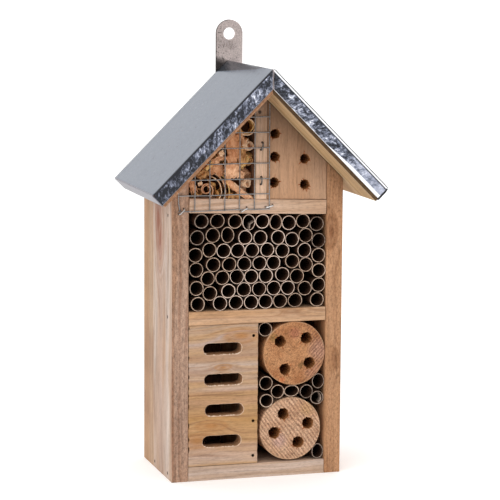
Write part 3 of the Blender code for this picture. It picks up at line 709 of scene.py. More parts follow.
WOODS = {
    "side_panel_left": wood(
        "wood_side_left", "Z", srgb(196, 172, 158), srgb(184, 148, 120), srgb(150, 112, 88), 1.7, (-190, 30),
        band=9, fine=3.4, lines=0.55, bands=SIDE_BANDS, front=("Y", CASE_CUT, (0.72, 0.59, 0.50)),
        whorl=srgb(148, 92, 70), knots=(((-73.5, -3, 215), 13, 34), ((-73.5, -10, 200), 9, 20)),
    ),
    "side_panel_right": wood(
        "wood_side_right", "Z", srgb(206, 157, 118), srgb(190, 140, 100), srgb(142, 94, 62), 4.2, (150, -120),
        band=7, fine=2.6, lines=0.55, front=("Y", CASE_CUT, (0.87, 0.85, 0.83)), roof_shaded=True,
        knots=(((66, -47, 205), 7, 16), ((67, -47, 98), 5, 9)),
    ),
    "bottom_board": wood(
        "wood_bottom", "X", srgb(204, 180, 164), srgb(196, 166, 142), srgb(160, 130, 106), 2.3, (-60, -160),
        band=5, lines=0.45,
    ),
    "middle_shelf": wood(
        "wood_middle", "X", srgb(204, 166, 134), srgb(194, 150, 110), srgb(156, 112, 78), 6.1, (-20, 230),
        band=5, fine=2.2, lines=0.55, knots=(((30, -47, 143), 6, 8),),
    ),
    "upper_shelf": wood(
        "wood_upper", "X", srgb(222, 192, 170), srgb(204, 168, 140), srgb(162, 122, 94), 8.8, (-20, 130),
        band=5, lines=0.5, bands=SHELF_BANDS,
    ),
    "back_panel": wood(
        "wood_back", "Z", srgb(204, 174, 148), srgb(192, 152, 116), srgb(156, 110, 78), 3.9, (30, 110),
        # the dark tint on the panel's inner face is painted shade inside the case
        band=14, fine=3.0, front=("Y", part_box("back_panel")[0].y + 0.4 * MM, (0.30, 0.22, 0.19)),
    ),
    "lower_divider": wood(
        "wood_divider", "Z", srgb(206, 172, 140), srgb(196, 152, 116), srgb(160, 116, 82), 5.0, (60, 60),
    ),
    "attic_post": wood(
        "wood_post", "Z", srgb(228, 192, 164), srgb(214, 172, 138), srgb(176, 132, 100), 7.4, (60, -150),
        band=6, lines=0.4, roof_shaded=True,
        # the dark tint on the post's left face is painted shade
        front=("X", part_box("attic_post")[0].x + 0.4 * MM, (0.42, 0.34, 0.30)),
    ),
    "roof_board_left": wood(
        "wood_roof_left", "X", srgb(206, 164, 122), srgb(196, 148, 104), srgb(160, 112, 74), 9.3, (-50, 180),
        band=8, fine=2.4, front=("Y", ROOF_CUT, (0.68, 0.59, 0.62)), slant=45,
    ),
    "roof_board_right": wood(
        "wood_roof_right", "X", srgb(208, 179, 140), srgb(193, 159, 115), srgb(142, 106, 74), 10.9,
        # its near-black front edge tone is painted shadow under the sheet's hem
        (-190, 160), band=8, fine=3.0, front=("Y", ROOF_CUT, (0.19, 0.15, 0.12)), slant=-45,
    ),
}

EDGE_ROUND = 0.45 * MM


def coat(node, made):
    """Gives a kept CAD node one material."""
    node.data.materials.clear()
    node.data.materials.append(made)


def dress_board(node, made):
    """Rounds a board's edges a little and gives it its wood."""
    board = NODES[node]
    weld = board.modifiers.new("weld", "WELD")
    weld.merge_threshold = 0.01 * MM
    soft = board.modifiers.new("soft_edges", "BEVEL")
    soft.width = EDGE_ROUND
    soft.segments = 2
    soft.limit_method = "ANGLE"
    soft.angle_limit = math.radians(50)
    coat(board, made)


for board_name, board_wood in WOODS.items():
    dress_board(board_name, board_wood)

NAIL_METAL = dull_metal("nail_head", srgb(92, 74, 62), srgb(44, 34, 28), 1800.0, 0.5, 0.6)
SCREW_METAL = dull_metal("screw_head", srgb(196, 192, 186), srgb(140, 136, 130), 1500.0)
for node_name, node in NODES.items():
    if "_nail" in node_name or node_name.startswith("panel_pin"):
        coat(node, NAIL_METAL)
    if node_name.startswith("hanger_screw"):
        coat(node, SCREW_METAL)


# ---------------------------------------------------------------- slotted panel

SLOT_STRAIGHT = 11.7 * MM  # half the length of a slot's straight sides
SLOT_RADIUS = 4.9 * MM
FRINGE_COUNT = 17
FRINGE_REACH = 15.5 * MM  # fibres stand this far to either side of a slot's middle
END_STEPS = 12  # along a slot's round end
SIDE_STEPS = 14  # along its straight side
EDGE_STEPS = 90  # along each edge of the panel


def slot_outline(centre, seed):
    """A routed slot with round ends and a ragged edge."""
    points = []
    for side in (1, -1):
        for i in range(END_STEPS + 1):
            turn = -side * math.pi / 2 + math.pi * i / END_STEPS
            points.append(Vector((centre[0] + side * SLOT_STRAIGHT + SLOT_RADIUS * math.cos(turn),
                                  centre[1] + SLOT_RADIUS * math.sin(turn))))
        for i in range(1, SIDE_STEPS):
            x = centre[0] + side * SLOT_STRAIGHT * (1 - 2 * i / SIDE_STEPS)
            points.append(Vector((x, centre[1] + side * SLOT_RADIUS)))
    ragged = []
    for point in points:
        away = (point - Vector(centre)).normalized()
        jag = ripple(point.x * 700, point.y * 700, seed)
        jag += 0.6 * ripple(point.x * 1900, point.y * 1900, seed)
        ragged.append(tuple(point + away * jag * 0.35 * MM))
    return ragged


def middles(prefix):
    """The middles (x, z) of the openings that the record states under a prefix."""
    found = []
    for opening in frame["record"]["physics"]["openings"]:
        if opening["name"].startswith(prefix):
            low, high = opening["box_m"]
            found.append(((low[0] + high[0]) / 2, (low[2] + high[2]) / 2))
    return found


def make_slot_fringe(front):
    """Pale fibres that the router left standing along the slots' lower edges."""
    chance = random.Random(12)
    bm = bmesh.new()
    for x, z in middles("slot_"):
        for _ in range(FRINGE_COUNT):
            along = FRINGE_REACH * (1 - 2 * chance.random() ** 0.8)
            past = max(0.0, abs(along) - SLOT_STRAIGHT)
            drop = math.sqrt(max(0.0, SLOT_RADIUS ** 2 - past ** 2))
            root = Vector((x + along, front, z - drop))
            reach = chance.uniform(0.4, 1.7) * MM
            side = Vector((reach, 0, chance.uniform(-0.15, 0.15) * MM))
            up = Vector((0, 0.25 * MM, chance.uniform(0.2, 0.8) * MM))
            down = Vector((0, -0.12 * MM, -0.25 * MM))
            sunk = Vector((0, 0.6 * MM, 0))
            corners = ring_of(bm, (root - side + sunk, root + side + sunk, root + down, root + up))
            for a, b, c in ((0, 2, 3), (2, 1, 3), (0, 3, 1), (0, 1, 2)):
                bm.faces.new((corners[a], corners[b], corners[c]))
    fibre = fuzzy("slot_fibre", srgb(240, 222, 204), srgb(200, 170, 142))
    fringe = object_from("slotted_panel_fibres", bm)
    finish_piece(fringe, "slotted_panel", (fibre,), smooth=None)


def make_slotted_panel():
    low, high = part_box("slotted_panel")
    outline = [(low.x, low.z), (high.x, low.z), (high.x, high.z), (low.x, high.z)]
    steps = []  # the outline in short steps, nicked along its upright edges
    for i, corner in enumerate(outline):
        after = outline[(i + 1) % 4]
        for k in range(EDGE_STEPS):
            share = k / EDGE_STEPS
            nick = 0.0
            if corner[0] == after[0]:
                left = corner[0] == low.x
                rough = ripple(corner[0], share * 29, i)
                nick = min(1.0, 5 * max(0.0, rough)) * (0.85 if left else 0.25) * MM
            x = corner[0] + (after[0] - corner[0]) * share
            z = corner[1] + (after[1] - corner[1]) * share
            inward = 1 if x < (low.x + high.x) / 2 else -1
            steps.append((x + inward * nick, z))
    holes = [(slot_outline(c, 3.0 + i), 0) for i, c in enumerate(middles("slot_"))]
    panel = drilled_solid(
        "slotted_panel_sawn", steps, holes, low.y, high.y, edge=0.35 * MM, lip=0.4 * MM, through=True,
    )
    grain = wood(
        "wood_slotted", "X", srgb(196, 170, 152), srgb(190, 150, 106), srgb(146, 104, 74), 12.4,
        (FRONT / MM + 40, 240), band=9, fine=3.2, lines=0.6, bands=PANEL_BANDS, whorl=srgb(176, 124, 76),
        knots=(((-29.4, -47, 96.5), 4, 6), ((-14, -47, 122), 8, 12), ((-52, -47, 33), 9, 12),
               ((-40, -47, 46), 7, 10)),
    )
    inner = fuzzy("slot_wall", srgb(186, 146, 112), srgb(128, 90, 60), (0.2, 1, 1))
    lip = fuzzy("slot_lip", srgb(238, 214, 190), srgb(196, 160, 130), (0.3, 1, 1))
    finish_piece(panel, "slotted_panel", (grain, inner, lip), smooth=30)
    make_slot_fringe(low.y)


make_slotted_panel()


# ---------------------------------------------------------------- log discs and drilled block

BORE = fuzzy("bore_wall", srgb(172, 118, 74), srgb(98, 60, 32))
TORN = fuzzy("torn_fibre", srgb(186, 112, 66), srgb(110, 62, 34))
HOLE_LIP = fuzzy("hole_lip", srgb(206, 158, 118), srgb(140, 92, 58))


def make_splinters(node, holes, radius, front, chance, most):
    """Fibres torn loose round drilled holes, 3 to most at each: thin slivers against the face."""
    bm = bmesh.new()
    for x, z in holes:
        for _ in range(chance.randint(3, most)):
            turn = math.radians(chance.choice((chance.uniform(200, 345), chance.uniform(0, 360))))
            length = chance.uniform(1.2, 3.6) * MM
            lean = turn + chance.uniform(-0.7, 0.7)
            root = Vector((x + radius * math.cos(turn), front, z + radius * math.sin(turn)))
            out = Vector((math.cos(lean), 0, math.sin(lean)))
            side = Vector((-out.z, 0, out.x)) * chance.uniform(0.35, 0.75) * MM
            lift = Vector((0, -chance.uniform(0.4, 0.9) * MM, 0))
            sunk = Vector((0, 0.5 * MM, 0))
            corners = ring_of(bm, (root + side + sunk, root - side + sunk, root + lift))
            tip = bm.verts.new(root + out * length + lift * 0.4)
            bm.faces.new(corners)
            for i in range(3):
                bm.faces.new((corners[i], corners[(i + 1) % 3], tip))
    finish_piece(object_from(node + "_fibres", bm), node, (TORN,), smooth=None)


DISC_BORE = 4.9 * MM  # radius
DISC_BORE_DEPTH = 55 * MM
BLOCK_BORE = 4.1 * MM  # radius
BLOCK_BORE_DEPTH = 60 * MM
BORE_SIDES = 60
BLOCK_SKEW = 1.8 * MM  # the block's left foot is sawn this much higher than its right


def make_drilled(node, outline, look, prefix, edge, bore, splinters):
    """A sawn piece with ragged bores where the record's openings named prefix are.

    bore is (radius, depth, rag, fine, seed) as for a circle, splinters (radius, chance, most).
    """
    low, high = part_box(node)
    holes = middles(prefix)
    radius, depth, rag, fine, seed = bore
    bores = [(circle(c, radius, BORE_SIDES, rag, seed + i, fine), depth) for i, c in enumerate(holes)]
    piece = drilled_solid(node + "_sawn", outline, bores, low.y, high.y, edge, lip=0.2 * MM)
    finish_piece(piece, node, (look, BORE, HOLE_LIP))
    reach, chance, most = splinters
    make_splinters(node, holes, reach, low.y, chance, most)


def make_disc(node, prefix, tones, saw, marks, seed):
    """A cut of a branch; tones, saw and marks are those of end_grain."""
    low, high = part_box(node)
    centre = ((low.x + high.x) / 2, (low.z + high.z) / 2)
    radius = (high.z - low.z) / 2
    look = end_grain(node + "_grain", *tones, centre, radius, saw, marks, seed)
    outline = circle(centre, radius * 1.002, 150, rag=0.45 * MM, seed=seed, fine=1.3)
    bore = (DISC_BORE, DISC_BORE_DEPTH, 0.9 * MM, 3.6, seed)
    splinters = (DISC_BORE, random.Random(seed), 4)
    make_drilled(node, outline, look, prefix, 0.5 * MM, bore, splinters)


UPPER_TONES = (srgb(196, 142, 99), srgb(176, 117, 76), srgb(130, 87, 70))
UPPER_MARKS = (
    (38.1, 93.7, 3.2, srgb(112, 84, 50)), (22, 82, 3, srgb(200, 112, 66)), (33, 121, 5, srgb(176, 112, 84)),
    (55, 106, 9, srgb(200, 152, 128)), (50, 88, 8, srgb(196, 142, 112)), (14, 118, 4, srgb(158, 120, 70)),
)
LOWER_TONES = (srgb(225, 184, 151), srgb(211, 165, 130), srgb(142, 95, 75))
LOWER_MARKS = ((20, 30, 6, srgb(214, 174, 160)), (44, 56, 6, srgb(208, 164, 116)))
make_disc("log_disc_upper", "upper_disc_hole", UPPER_TONES, (-42, 2.4, 8), UPPER_MARKS, 2.0)
make_disc("log_disc_lower", "lower_disc_hole", LOWER_TONES, (37, 2.7, -60), LOWER_MARKS, 7.0)


def make_block():
    low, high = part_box("drilled_block")
    outline = [(low.x, low.z + BLOCK_SKEW), (high.x, low.z), (high.x, UNDER_ROOF - high.x), (low.x, high.z)]
    grain = wood(
        "wood_block", "Z", srgb(202, 164, 134), srgb(190, 146, 112), srgb(158, 116, 86), 15.5, (20, -190),
        band=9, fine=3.4, lines=0.25, roof_shaded=True,
    )
    bore = (BLOCK_BORE, BLOCK_BORE_DEPTH, 1.0 * MM, 3.8, 20.0)
    splinters = (BLOCK_BORE + 0.05 * MM, random.Random(5), 8)
    make_drilled("drilled_block", outline, grain, "block_hole", 0.4 * MM, bore, splinters)


make_block()


# ---------------------------------------------------------------- paper tubes

# one cut paper in three brightnesses, from lit to shaded, for painted shade
PAPER_CUTS = [
    paper("paper_cut_light", srgb(252, 230, 214), srgb(204, 176, 158), 700.0),
    paper("paper_cut_tan", srgb(226, 200, 178), srgb(166, 138, 118), 700.0),
    paper("paper_cut_grey", srgb(186, 166, 152), srgb(126, 108, 94), 700.0),
]
LIT_REACH = 30 * MM  # tubes nearer than this to the storey's middle are the paler ones
PAPER_WALL = paper("paper_wall", srgb(88, 60, 44), srgb(48, 31, 22), 600.0)
TUBE_SWELL = 0.12 * MM  # the paper fills part of the clearance that the frame's tubes keep
RIM_SIDES = 12  # sides of a tube in the frame
TUBE_SIDES = 56
PEEL_THICK = 0.3 * MM
PEEL_GAP = 1.1 * MM  # between a tube's outside and the loose layer's ends
PEEL_SECTIONS = (0.4 * MM, 5 * MM, 12 * MM)  # behind the tube's lip
LIP_ROUND = 0.25 * MM
LIP_REACH = 6 * MM  # an uneven lip's waves reach this far down the tube
INNER_END = 3 * MM  # the inside ends this far short of the back
SHADE_FROM = 0.198  # tubes above this height are darker


def rims_of(node):
    """The tubes of a CAD node, read off their front rims: (x, z, half width, half height, front)."""
    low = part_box(node)[0]
    bm = bmesh.new()
    bm.from_mesh(NODES[node].data)
    bmesh.ops.remove_doubles(bm, verts=bm.verts, dist=0.005 * MM)
    far = [v for v in bm.verts if v.co.y > low.y + 4 * MM]
    bmesh.ops.delete(bm, geom=far, context="VERTS")
    left = set(bm.verts)
    found = []
    while left:
        group = {left.pop()}
        edge = list(group)
        while edge:
            vert = edge.pop()
            for link in vert.link_edges:
                other = link.other_vert(vert)
                if other in left:
                    left.discard(other)
                    group.add(other)
                    edge.append(other)
        xs = [v.co.x for v in group]
        zs = [v.co.z for v in group]
        widen = 2 * math.cos(math.pi / RIM_SIDES)
        found.append(((min(xs) + max(xs)) / 2, (min(zs) + max(zs)) / 2, (max(xs) - min(xs)) / widen,
                      (max(zs) - min(zs)) / widen, min(v.co.y for v in group)))
    bm.free()
    return sorted(found)


def make_tube(name, node, rim, back, chance):
    """A wound paper tube: its section is a slightly squashed spiral, its lip uneven."""
    x, z, wide, high, front = rim
    wide += TUBE_SWELL
    high += TUBE_SWELL
    wall = chance.uniform(0.5, 0.78) * MM
    seam = chance.uniform(0, 2 * math.pi)
    lobes = [(k, chance.uniform(0, 2 * math.pi), chance.uniform(0.002, 0.016)) for k in (2, 3)]
    slant = chance.uniform(0, 0.35) * MM
    slant_turn = chance.uniform(0, 2 * math.pi)
    step = chance.uniform(0.10, 0.26) * MM
    nick = chance.uniform(0, 100)

    def ring(inset, depth, follow):
        points = []
        for i in range(TUBE_SIDES):
            turn = 2 * math.pi * i / TUBE_SIDES
            swell = 1 + sum(size * math.cos(k * turn + phase) for k, phase, size in lobes)
            wind = step * (((turn - seam) % (2 * math.pi)) / (2 * math.pi) - 1)
            reach = inset - wind
            wave = 0.35 * MM * ripple(2 * math.cos(turn), 2 * math.sin(turn), nick)
            lip = follow * (slant * math.cos(turn - slant_turn) + wave)
            points.append((x + (wide * swell - reach) * math.cos(turn), front + depth + slant + lip,
                           z + (high * swell - reach) * math.sin(turn)))
        return points

    profile = (  # from the outside's back round the lip to the inside's: inset, depth, waviness, material
        (0.0, back - front, 0, 1), (0.0, LIP_REACH, 1, 1), (0.0, LIP_ROUND, 1, 0),
        (0.22 * wall, 0.0, 1, 0), (0.78 * wall, 0.0, 1, 0), (wall, LIP_ROUND, 1, 1),
        (wall, LIP_REACH, 1, 1), (wall, back - front - INNER_END, 0, 1),
    )
    bm = bmesh.new()
    rings = [ring_of(bm, ring(inset, depth, follow)) for inset, depth, follow, _ in profile]
    for first, second, (_, _, _, material) in zip(rings, rings[1:], profile):
        skin(bm, first, second, material)
    for end in (rings[0], rings[-1]):
        bm.faces.new(end).material_index = 1
    # painted shade: tubes further from the storey's middle, higher up or in the lower bay take darker copies
    # of the cut paper; the random share gives each tube its own tone
    shade = abs(x) / LIT_REACH + max(0.0, z - SHADE_FROM) / LIT_REACH + chance.uniform(-0.5, 0.5)
    if node.startswith("bay_tube"):
        shade += 1
    cut = PAPER_CUTS[min(2, max(0, int(shade)))]
    finish_piece(object_from(name, bm), node, (cut, PAPER_WALL), smooth=50)


def make_peel(name, node, rim, towards, spread_angle, depth):
    """A loose inner layer of a tube, bowed away from the wall; towards is its middle's angle."""
    x, z, wide, high, front = rim
    rows = []
    for behind in PEEL_SECTIONS:
        row = []
        for share in spread(0, 1, 16):
            turn = math.radians(towards + spread_angle * (share - 0.5))
            bow = PEEL_GAP + depth * MM * math.sin(math.pi * share)
            row.append((x + (wide - bow) * math.cos(turn), front + behind, z + (high - bow) * math.sin(turn)))
        rows.append(row)
    peel = thin_sheet(name, rows, PEEL_THICK)
    # the loose layer inside the tube takes the darkest, shaded copy as painted shade
    finish_piece(peel, node, (PAPER_CUTS[2],), smooth=60)


PEELS = (  # node, which of its tubes, towards, spread_angle, depth in mm
    ("bay_tube_7", 0, 5, 150, 0.9),
    ("tube_row_1", 3, -40, 100, 3.0),
)


def make_tubes():
    chance = random.Random(31)
    nodes = sorted(n for n in NODES if n.startswith(("tube_row", "bay_tube")))
    for node in nodes:
        for number, rim in enumerate(rims_of(node)):
            make_tube(f"{node}_paper_{number + 1}", node, rim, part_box(node)[1].y, chance)
    for node, number, towards, spread_angle, depth in PEELS:
        make_peel(f"{node}_loose_layer", node, rims_of(node)[number], towards, spread_angle, depth)


make_tubes()


# ---------------------------------------------------------------- roof sheet and hanger

SHEET = 0.6 * MM
FOLD_RADIUS = 1.1 * MM
RIDGE_ROUND = 0.5 * MM
FIELD_DEPTH = 0.1 * MM  # the slopes lie this much lower than their edges
FRONT_PAST_EAVE = 0.8 * MM  # the front folds run this far past the eave folds
EAVE_BEHIND = 0.35 * MM  # and the eave folds start this far behind them
RIDGE_GAP = 0.2 * MM  # between the front folds at the ridge
BELLY = 0.7 * MM  # how far the right front fold's upper end is bowed
RIM_FROM = 0.1 * MM  # the rim's faces behind the sheet's front
RIM_TO = 0.5 * MM
RIM_ROOT = 0.4 * MM  # how far the rim reaches down into the sheet


def quarter(radius):
    """Five places round a quarter turn of a bend: (distance inwards, distance short of its end)."""
    turns = [math.pi / 2 * i / 5 for i in range(1, 6)]
    return [(radius * (1 - math.cos(turn)), radius * (1 - math.sin(turn))) for turn in turns]


def roof_rows():
    """Sections of the sheet from back to front: (y, depth below the slope)."""
    rows = [(y, 0.0) for y in spread(BACK, ROOF_FRONT + FOLD_RADIUS, 36)]
    rows += [(ROOF_FRONT + short, down) for down, short in quarter(FOLD_RADIUS)]
    rows += [(ROOF_FRONT, depth) for depth in spread(FOLD_RADIUS, FRONT_FOLD, 5)[1:]]
    return rows


def roof_columns():
    """Sections of the sheet from ridge to eave: (distance along, depth below the slope)."""
    end = EAVE * ROOT_TWO
    columns = [(along, 0.0) for along in spread(0, 3 * MM, 3) + spread(3 * MM, end - FOLD_RADIUS, 44)[1:]]
    columns += [(end - short, down) for down, short in quarter(FOLD_RADIUS)]
    columns += [(end, depth) for depth in spread(FOLD_RADIUS, FOLD, 4)[1:]]
    return columns


def dent(x, y):
    """How far the sheet is dished at a place, in metres."""
    slow = ripple(x * 22, y * 22, 3.0)
    fine = ripple(x * 75, y * 75, 8.0)
    return (0.09 * slow + 0.035 * fine) * MM


def make_roof_sheet():
    """One folded sheet: two slopes, two eave folds and two front folds that don't meet at the ridge.

    place and depth are a corner's distance from the ridge along the slope and below it.
    """
    bm = bmesh.new()
    rows = roof_rows()
    columns = roof_columns()
    flat_rows = sum(1 for _, depth in rows if depth == 0)
    flat_columns = sum(1 for _, depth in columns if depth == 0)
    ridge = {}
    for side in (-1, 1):
        grid = {}
        for j, (y, fall) in enumerate(rows):
            for i, (along, drop) in enumerate(columns):
                if fall and drop:
                    continue
                depth = max(fall, drop)
                place = along
                if fall:
                    belly = math.sin(math.pi * min(1.0, fall / FRONT_FOLD)) if side > 0 else 0.0
                    first = fall + RIDGE_GAP + BELLY * belly
                    last = along if drop else columns[flat_columns - 1][0]
                    end = last + (FRONT_PAST_EAVE if fall > FOLD_RADIUS else 0.0)
                    place = first + (end - first) * (along / last)
                here = y
                if drop > FOLD_RADIUS and j == flat_rows - 1:
                    here = ROOF_FRONT + EAVE_BEHIND
                if not depth:
                    edge = min(1.0, i / 3, (flat_columns - 1 - i) / 3, j / 3, (flat_rows - 1 - j) / 3)
                    depth = edge * (FIELD_DEPTH + dent(side * along, y))
                on_ridge = i == 0 and not fall
                x = 0.0 if on_ridge else side * (place - depth) / ROOT_TWO
                z = RIDGE_TOP - (place + depth) / ROOT_TWO
                if not fall:
                    z += abs(x) - math.hypot(x, RIDGE_ROUND)
                if on_ridge and j in ridge:
                    grid[i, j] = ridge[j]
                else:
                    grid[i, j] = bm.verts.new((x, here, z))
                if on_ridge:
                    ridge[j] = grid[i, j]
        for j in range(len(rows) - 1):
            for i in range(len(columns) - 1):
                corners = [grid.get(key) for key in ((i, j), (i + 1, j), (i + 1, j + 1), (i, j + 1))]
                if None not in corners:
                    face = bm.faces.new(corners if side > 0 else corners[::-1])
                    face.material_index = 1 if j >= flat_rows - 1 else 2 if i >= flat_columns - 1 else 0
    sheet = object_from("roof_sheet_folded", bm)
    up = sum(p.normal.z for p in sheet.data.polygons)
    if up < 0:
        sheet.data.flip_normals()
    thicken(sheet, "sheet", SHEET).use_even_offset = True
    looks = (
        zinc_slope("zinc_slope", srgb(115, 122, 135), srgb(104, 111, 124), 0.10),
        zinc_fold("zinc_fold"),
        zinc_slope("zinc_lip", srgb(140, 138, 146), srgb(116, 114, 122), 0.34),
    )
    finish_piece(sheet, "roof_sheet", looks, smooth=35)


def make_roof_rim():
    """The turned edge that stands up a little along the right slope's front."""
    bm = bmesh.new()
    rows = []
    end = EAVE * ROOT_TWO - 1.2 * RIM_HEIGHT
    for along in spread(RIM_ROOT, end, 60):
        height = RIM_HEIGHT * min(1.0, 0.5 + along / (3 * MM), (end - along) / (4 * MM) + 0.5)
        row = []
        for depth, y in ((RIM_ROOT, RIM_FROM), (-height, RIM_FROM), (-height, RIM_TO), (RIM_ROOT, RIM_TO)):
            row.append(((along - depth) / ROOT_TWO, ROOF_FRONT + y, RIDGE_TOP - (along + depth) / ROOT_TWO))
        rows.append(ring_of(bm, row))
    skin_rows(bm, rows)
    bm.faces.new(rows[0])
    bm.faces.new(rows[-1])
    finish_piece(object_from("roof_sheet_rim", bm), "roof_sheet", (zinc_rim("zinc_rim"),))


make_roof_sheet()
make_roof_rim()

HANGER_HOLE_DROP = 11.9 * MM  # the hole's middle below the plate's top
HANGER_HOLE_RADIUS = 5.15 * MM
SCREW_GAP = 0.2 * MM


def make_hanger():
    """The plate: straight sides, a round top, a round hole and two holes for its screws."""
    low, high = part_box("hanger_plate")
    half = (high.x - low.x) / 2
    middle = (high.x + low.x) / 2
    shoulder = high.z - half
    outline = [(high.x, z) for z in spread(low.z, shoulder, 20)]
    outline += [(middle + half * math.cos(turn), shoulder + half * math.sin(turn))
                for turn in spread(0, math.pi, 40)[1:-1]]
    outline += [(low.x, z) for z in spread(shoulder, low.z, 20)]
    holes = [(circle((middle, high.z - HANGER_HOLE_DROP), HANGER_HOLE_RADIUS, 48), 0)]
    for node in ("hanger_screw_upper", "hanger_screw_lower"):
        bottom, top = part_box(node)
        centre = (middle, (bottom.z + top.z) / 2)
        holes.append((circle(centre, (top.z - bottom.z) / 2 + SCREW_GAP, 32), 0))
    plate = drilled_solid(
        "hanger_plate_pressed", outline, holes, low.y, high.y, edge=0.25 * MM, lip=0.15 * MM, through=True,
    )
    metal = hanger_metal("hanger_metal", middle, shoulder, half, (low.y + high.y) / 2)
    finish_piece(plate, "hanger_plate", (metal, metal, metal))


make_hanger()


# ---------------------------------------------------------------- wires and staples

WIRE_METAL = dull_metal("wire_zinc", srgb(166, 163, 162), srgb(96, 94, 94), 900.0, 0.6, 0.4)
STAPLE_METAL = dull_metal("staple_zinc", srgb(236, 236, 236), srgb(150, 150, 152), 900.0, 0.9, 0.25)
DARK_STAPLE = dull_metal("staple_dark", srgb(150, 148, 146), srgb(44, 42, 42), 1300.0, 0.8, 0.3)
WIRE_SIDES = 12
WIRE_RADIUS = 0.48 * MM
MESH_PITCH = 12.7 * MM
MESH_WIRES = 7  # uprights, and as many crosswires
MESH_STUB = 0.6 * MM  # how far wires run on past the mesh's left and lower edges
ROOF_GAP = 1.2 * MM  # how far wires end short of the roof boards
FLARE = 1.2 * MM  # how far the leftmost upright's foot bends back inwards
STRAY = 0.9 * MM  # how far the leftmost upright is bent outwards
STAPLE_RADIUS = 0.62 * MM
STAPLE_BEND = 1.4 * MM


def add_wire(bm, path, radius):
    """A round wire along a list of points, with closed ends."""
    turns = [2 * math.pi * k / WIRE_SIDES for k in range(WIRE_SIDES)]
    section = [(math.cos(turn), math.sin(turn)) for turn in turns]
    rings = []
    up = Vector((0.0, 1.0, 0.0))
    for i, point in enumerate(path):
        after = path[min(i + 1, len(path) - 1)]
        before = path[max(i - 1, 0)]
        along = (after - before).normalized()
        across = along.cross(up)
        if across.length < 0.1:
            across = along.cross(Vector((1.0, 0.0, 0.0)))
        across.normalize()
        lift = across.cross(along).normalized()
        rings.append(ring_of(bm, [point + radius * (across * a + lift * b) for a, b in section]))
    skin_rows(bm, rings)
    bm.faces.new(rings[0][::-1])
    bm.faces.new(rings[-1])


def make_wire_mesh():
    low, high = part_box("wire_mesh")
    left = low.x + 1.1 * MM
    bottom = low.z + MESH_STUB
    back_y = high.y - WIRE_RADIUS
    front_y = low.y + WIRE_RADIUS
    bm = bmesh.new()
    for i in range(MESH_WIRES):
        x = left + i * MESH_PITCH
        top = UNDER_ROOF - ROOF_GAP - abs(x)
        path = []
        for z in spread(low.z, top, 24):
            sway = 0.35 * MM * ripple(x * 90, z * 30, 1.0)
            if i == 0:
                sway += FLARE * max(0.0, 1 - (z - low.z) / (7 * MM)) - STRAY
            dip = 0.072 * MM * math.cos((z - bottom) / MESH_PITCH * 2 * math.pi)
            path.append(Vector((x + sway, back_y + dip, z)))
        add_wire(bm, path, WIRE_RADIUS)
    for j in range(MESH_WIRES):
        z = bottom + j * MESH_PITCH
        start = max(left - MESH_STUB - STRAY, z - UNDER_ROOF + ROOF_GAP)
        path = []
        for x in spread(start, high.x, 30):
            sway = 0.35 * MM * ripple(x * 30, z * 90, 5.0)
            path.append(Vector((x, front_y, z + sway)))
        add_wire(bm, path, WIRE_RADIUS)
    finish_piece(object_from("wire_mesh_welded", bm), "wire_mesh", (WIRE_METAL,))


make_wire_mesh()


def make_staple(node):
    """A staple with a flattened, rounded crown, over the frame's own staple."""
    bm = bmesh.new()
    bm.from_mesh(NODES[node].data)
    legs = [v.co for v in bm.verts if v.co.y > FRONT + 5 * MM]
    low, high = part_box(node)
    middle = sum(legs, Vector()) / len(legs)
    farthest = max(legs, key=lambda p: (p - middle).length)
    side = [p for p in legs if (p - middle).dot(farthest - middle) > 0]
    end = sum(side, Vector()) / len(side)
    bm.free()
    along = Vector((end.x - middle.x, 0.0, end.z - middle.z))
    half = along.length
    along.normalize()
    crown = low.y + 0.6 * MM
    path = []
    for way in (-1, 1):
        leg = [(half, high.y), (half, crown + STAPLE_BEND)]
        for inward, forward in quarter(STAPLE_BEND):
            leg.append((half - inward, crown + forward))
        arm = [Vector((middle.x, 0, middle.z)) + way * reach * along + Vector((0, y, 0)) for reach, y in leg]
        path += arm if way < 0 else arm[::-1]
    bm = bmesh.new()
    add_wire(bm, path, STAPLE_RADIUS)
    # staples on the post take the darker metal
    metal = DARK_STAPLE if "post" in node else STAPLE_METAL
    finish_piece(object_from(node + "_wire", bm), node, (metal,))


for node_name in sorted(n for n in NODES if n.startswith("staple")):
    make_staple(node_name)


# ---------------------------------------------------------------- wood shavings

SHELF_RISE = math.tan(math.radians(2.0))
BED_DEPTH = 14 * MM  # the heap's surface lies this far behind the shavings' front
BED_SWELL = 4 * MM
BED_STEPS = 26
CHIP_THICK = 0.5 * MM
CHIP_STEPS = 18
CURL_THICK = 0.7 * MM
CURL_STEPS = 7  # across the ribbon
PALE_CURL = shaving_wood("shaving_pale", srgb(252, 222, 188), srgb(210, 160, 120), 1.0)
PINK_CHIP = shaving_wood("shaving_pink", srgb(245, 195, 155), srgb(202, 141, 100), 2.0)
BARK_CHIP = shaving_wood("shaving_bark", srgb(231, 174, 131), srgb(180, 118, 78), 3.0)
BROWN_CHIP = shaving_wood("shaving_brown", srgb(222, 172, 116), srgb(150, 100, 56), 4.0)
GOLD_CURL = shaving_wood("shaving_gold", srgb(248, 208, 140), srgb(184, 130, 70), 5.0)
# near-black wood as painted shade deep in the shavings
SHADED_BED_WOOD = shaving_wood("shaving_bed_shade", srgb(112, 70, 42), srgb(40, 22, 12), 6.0)


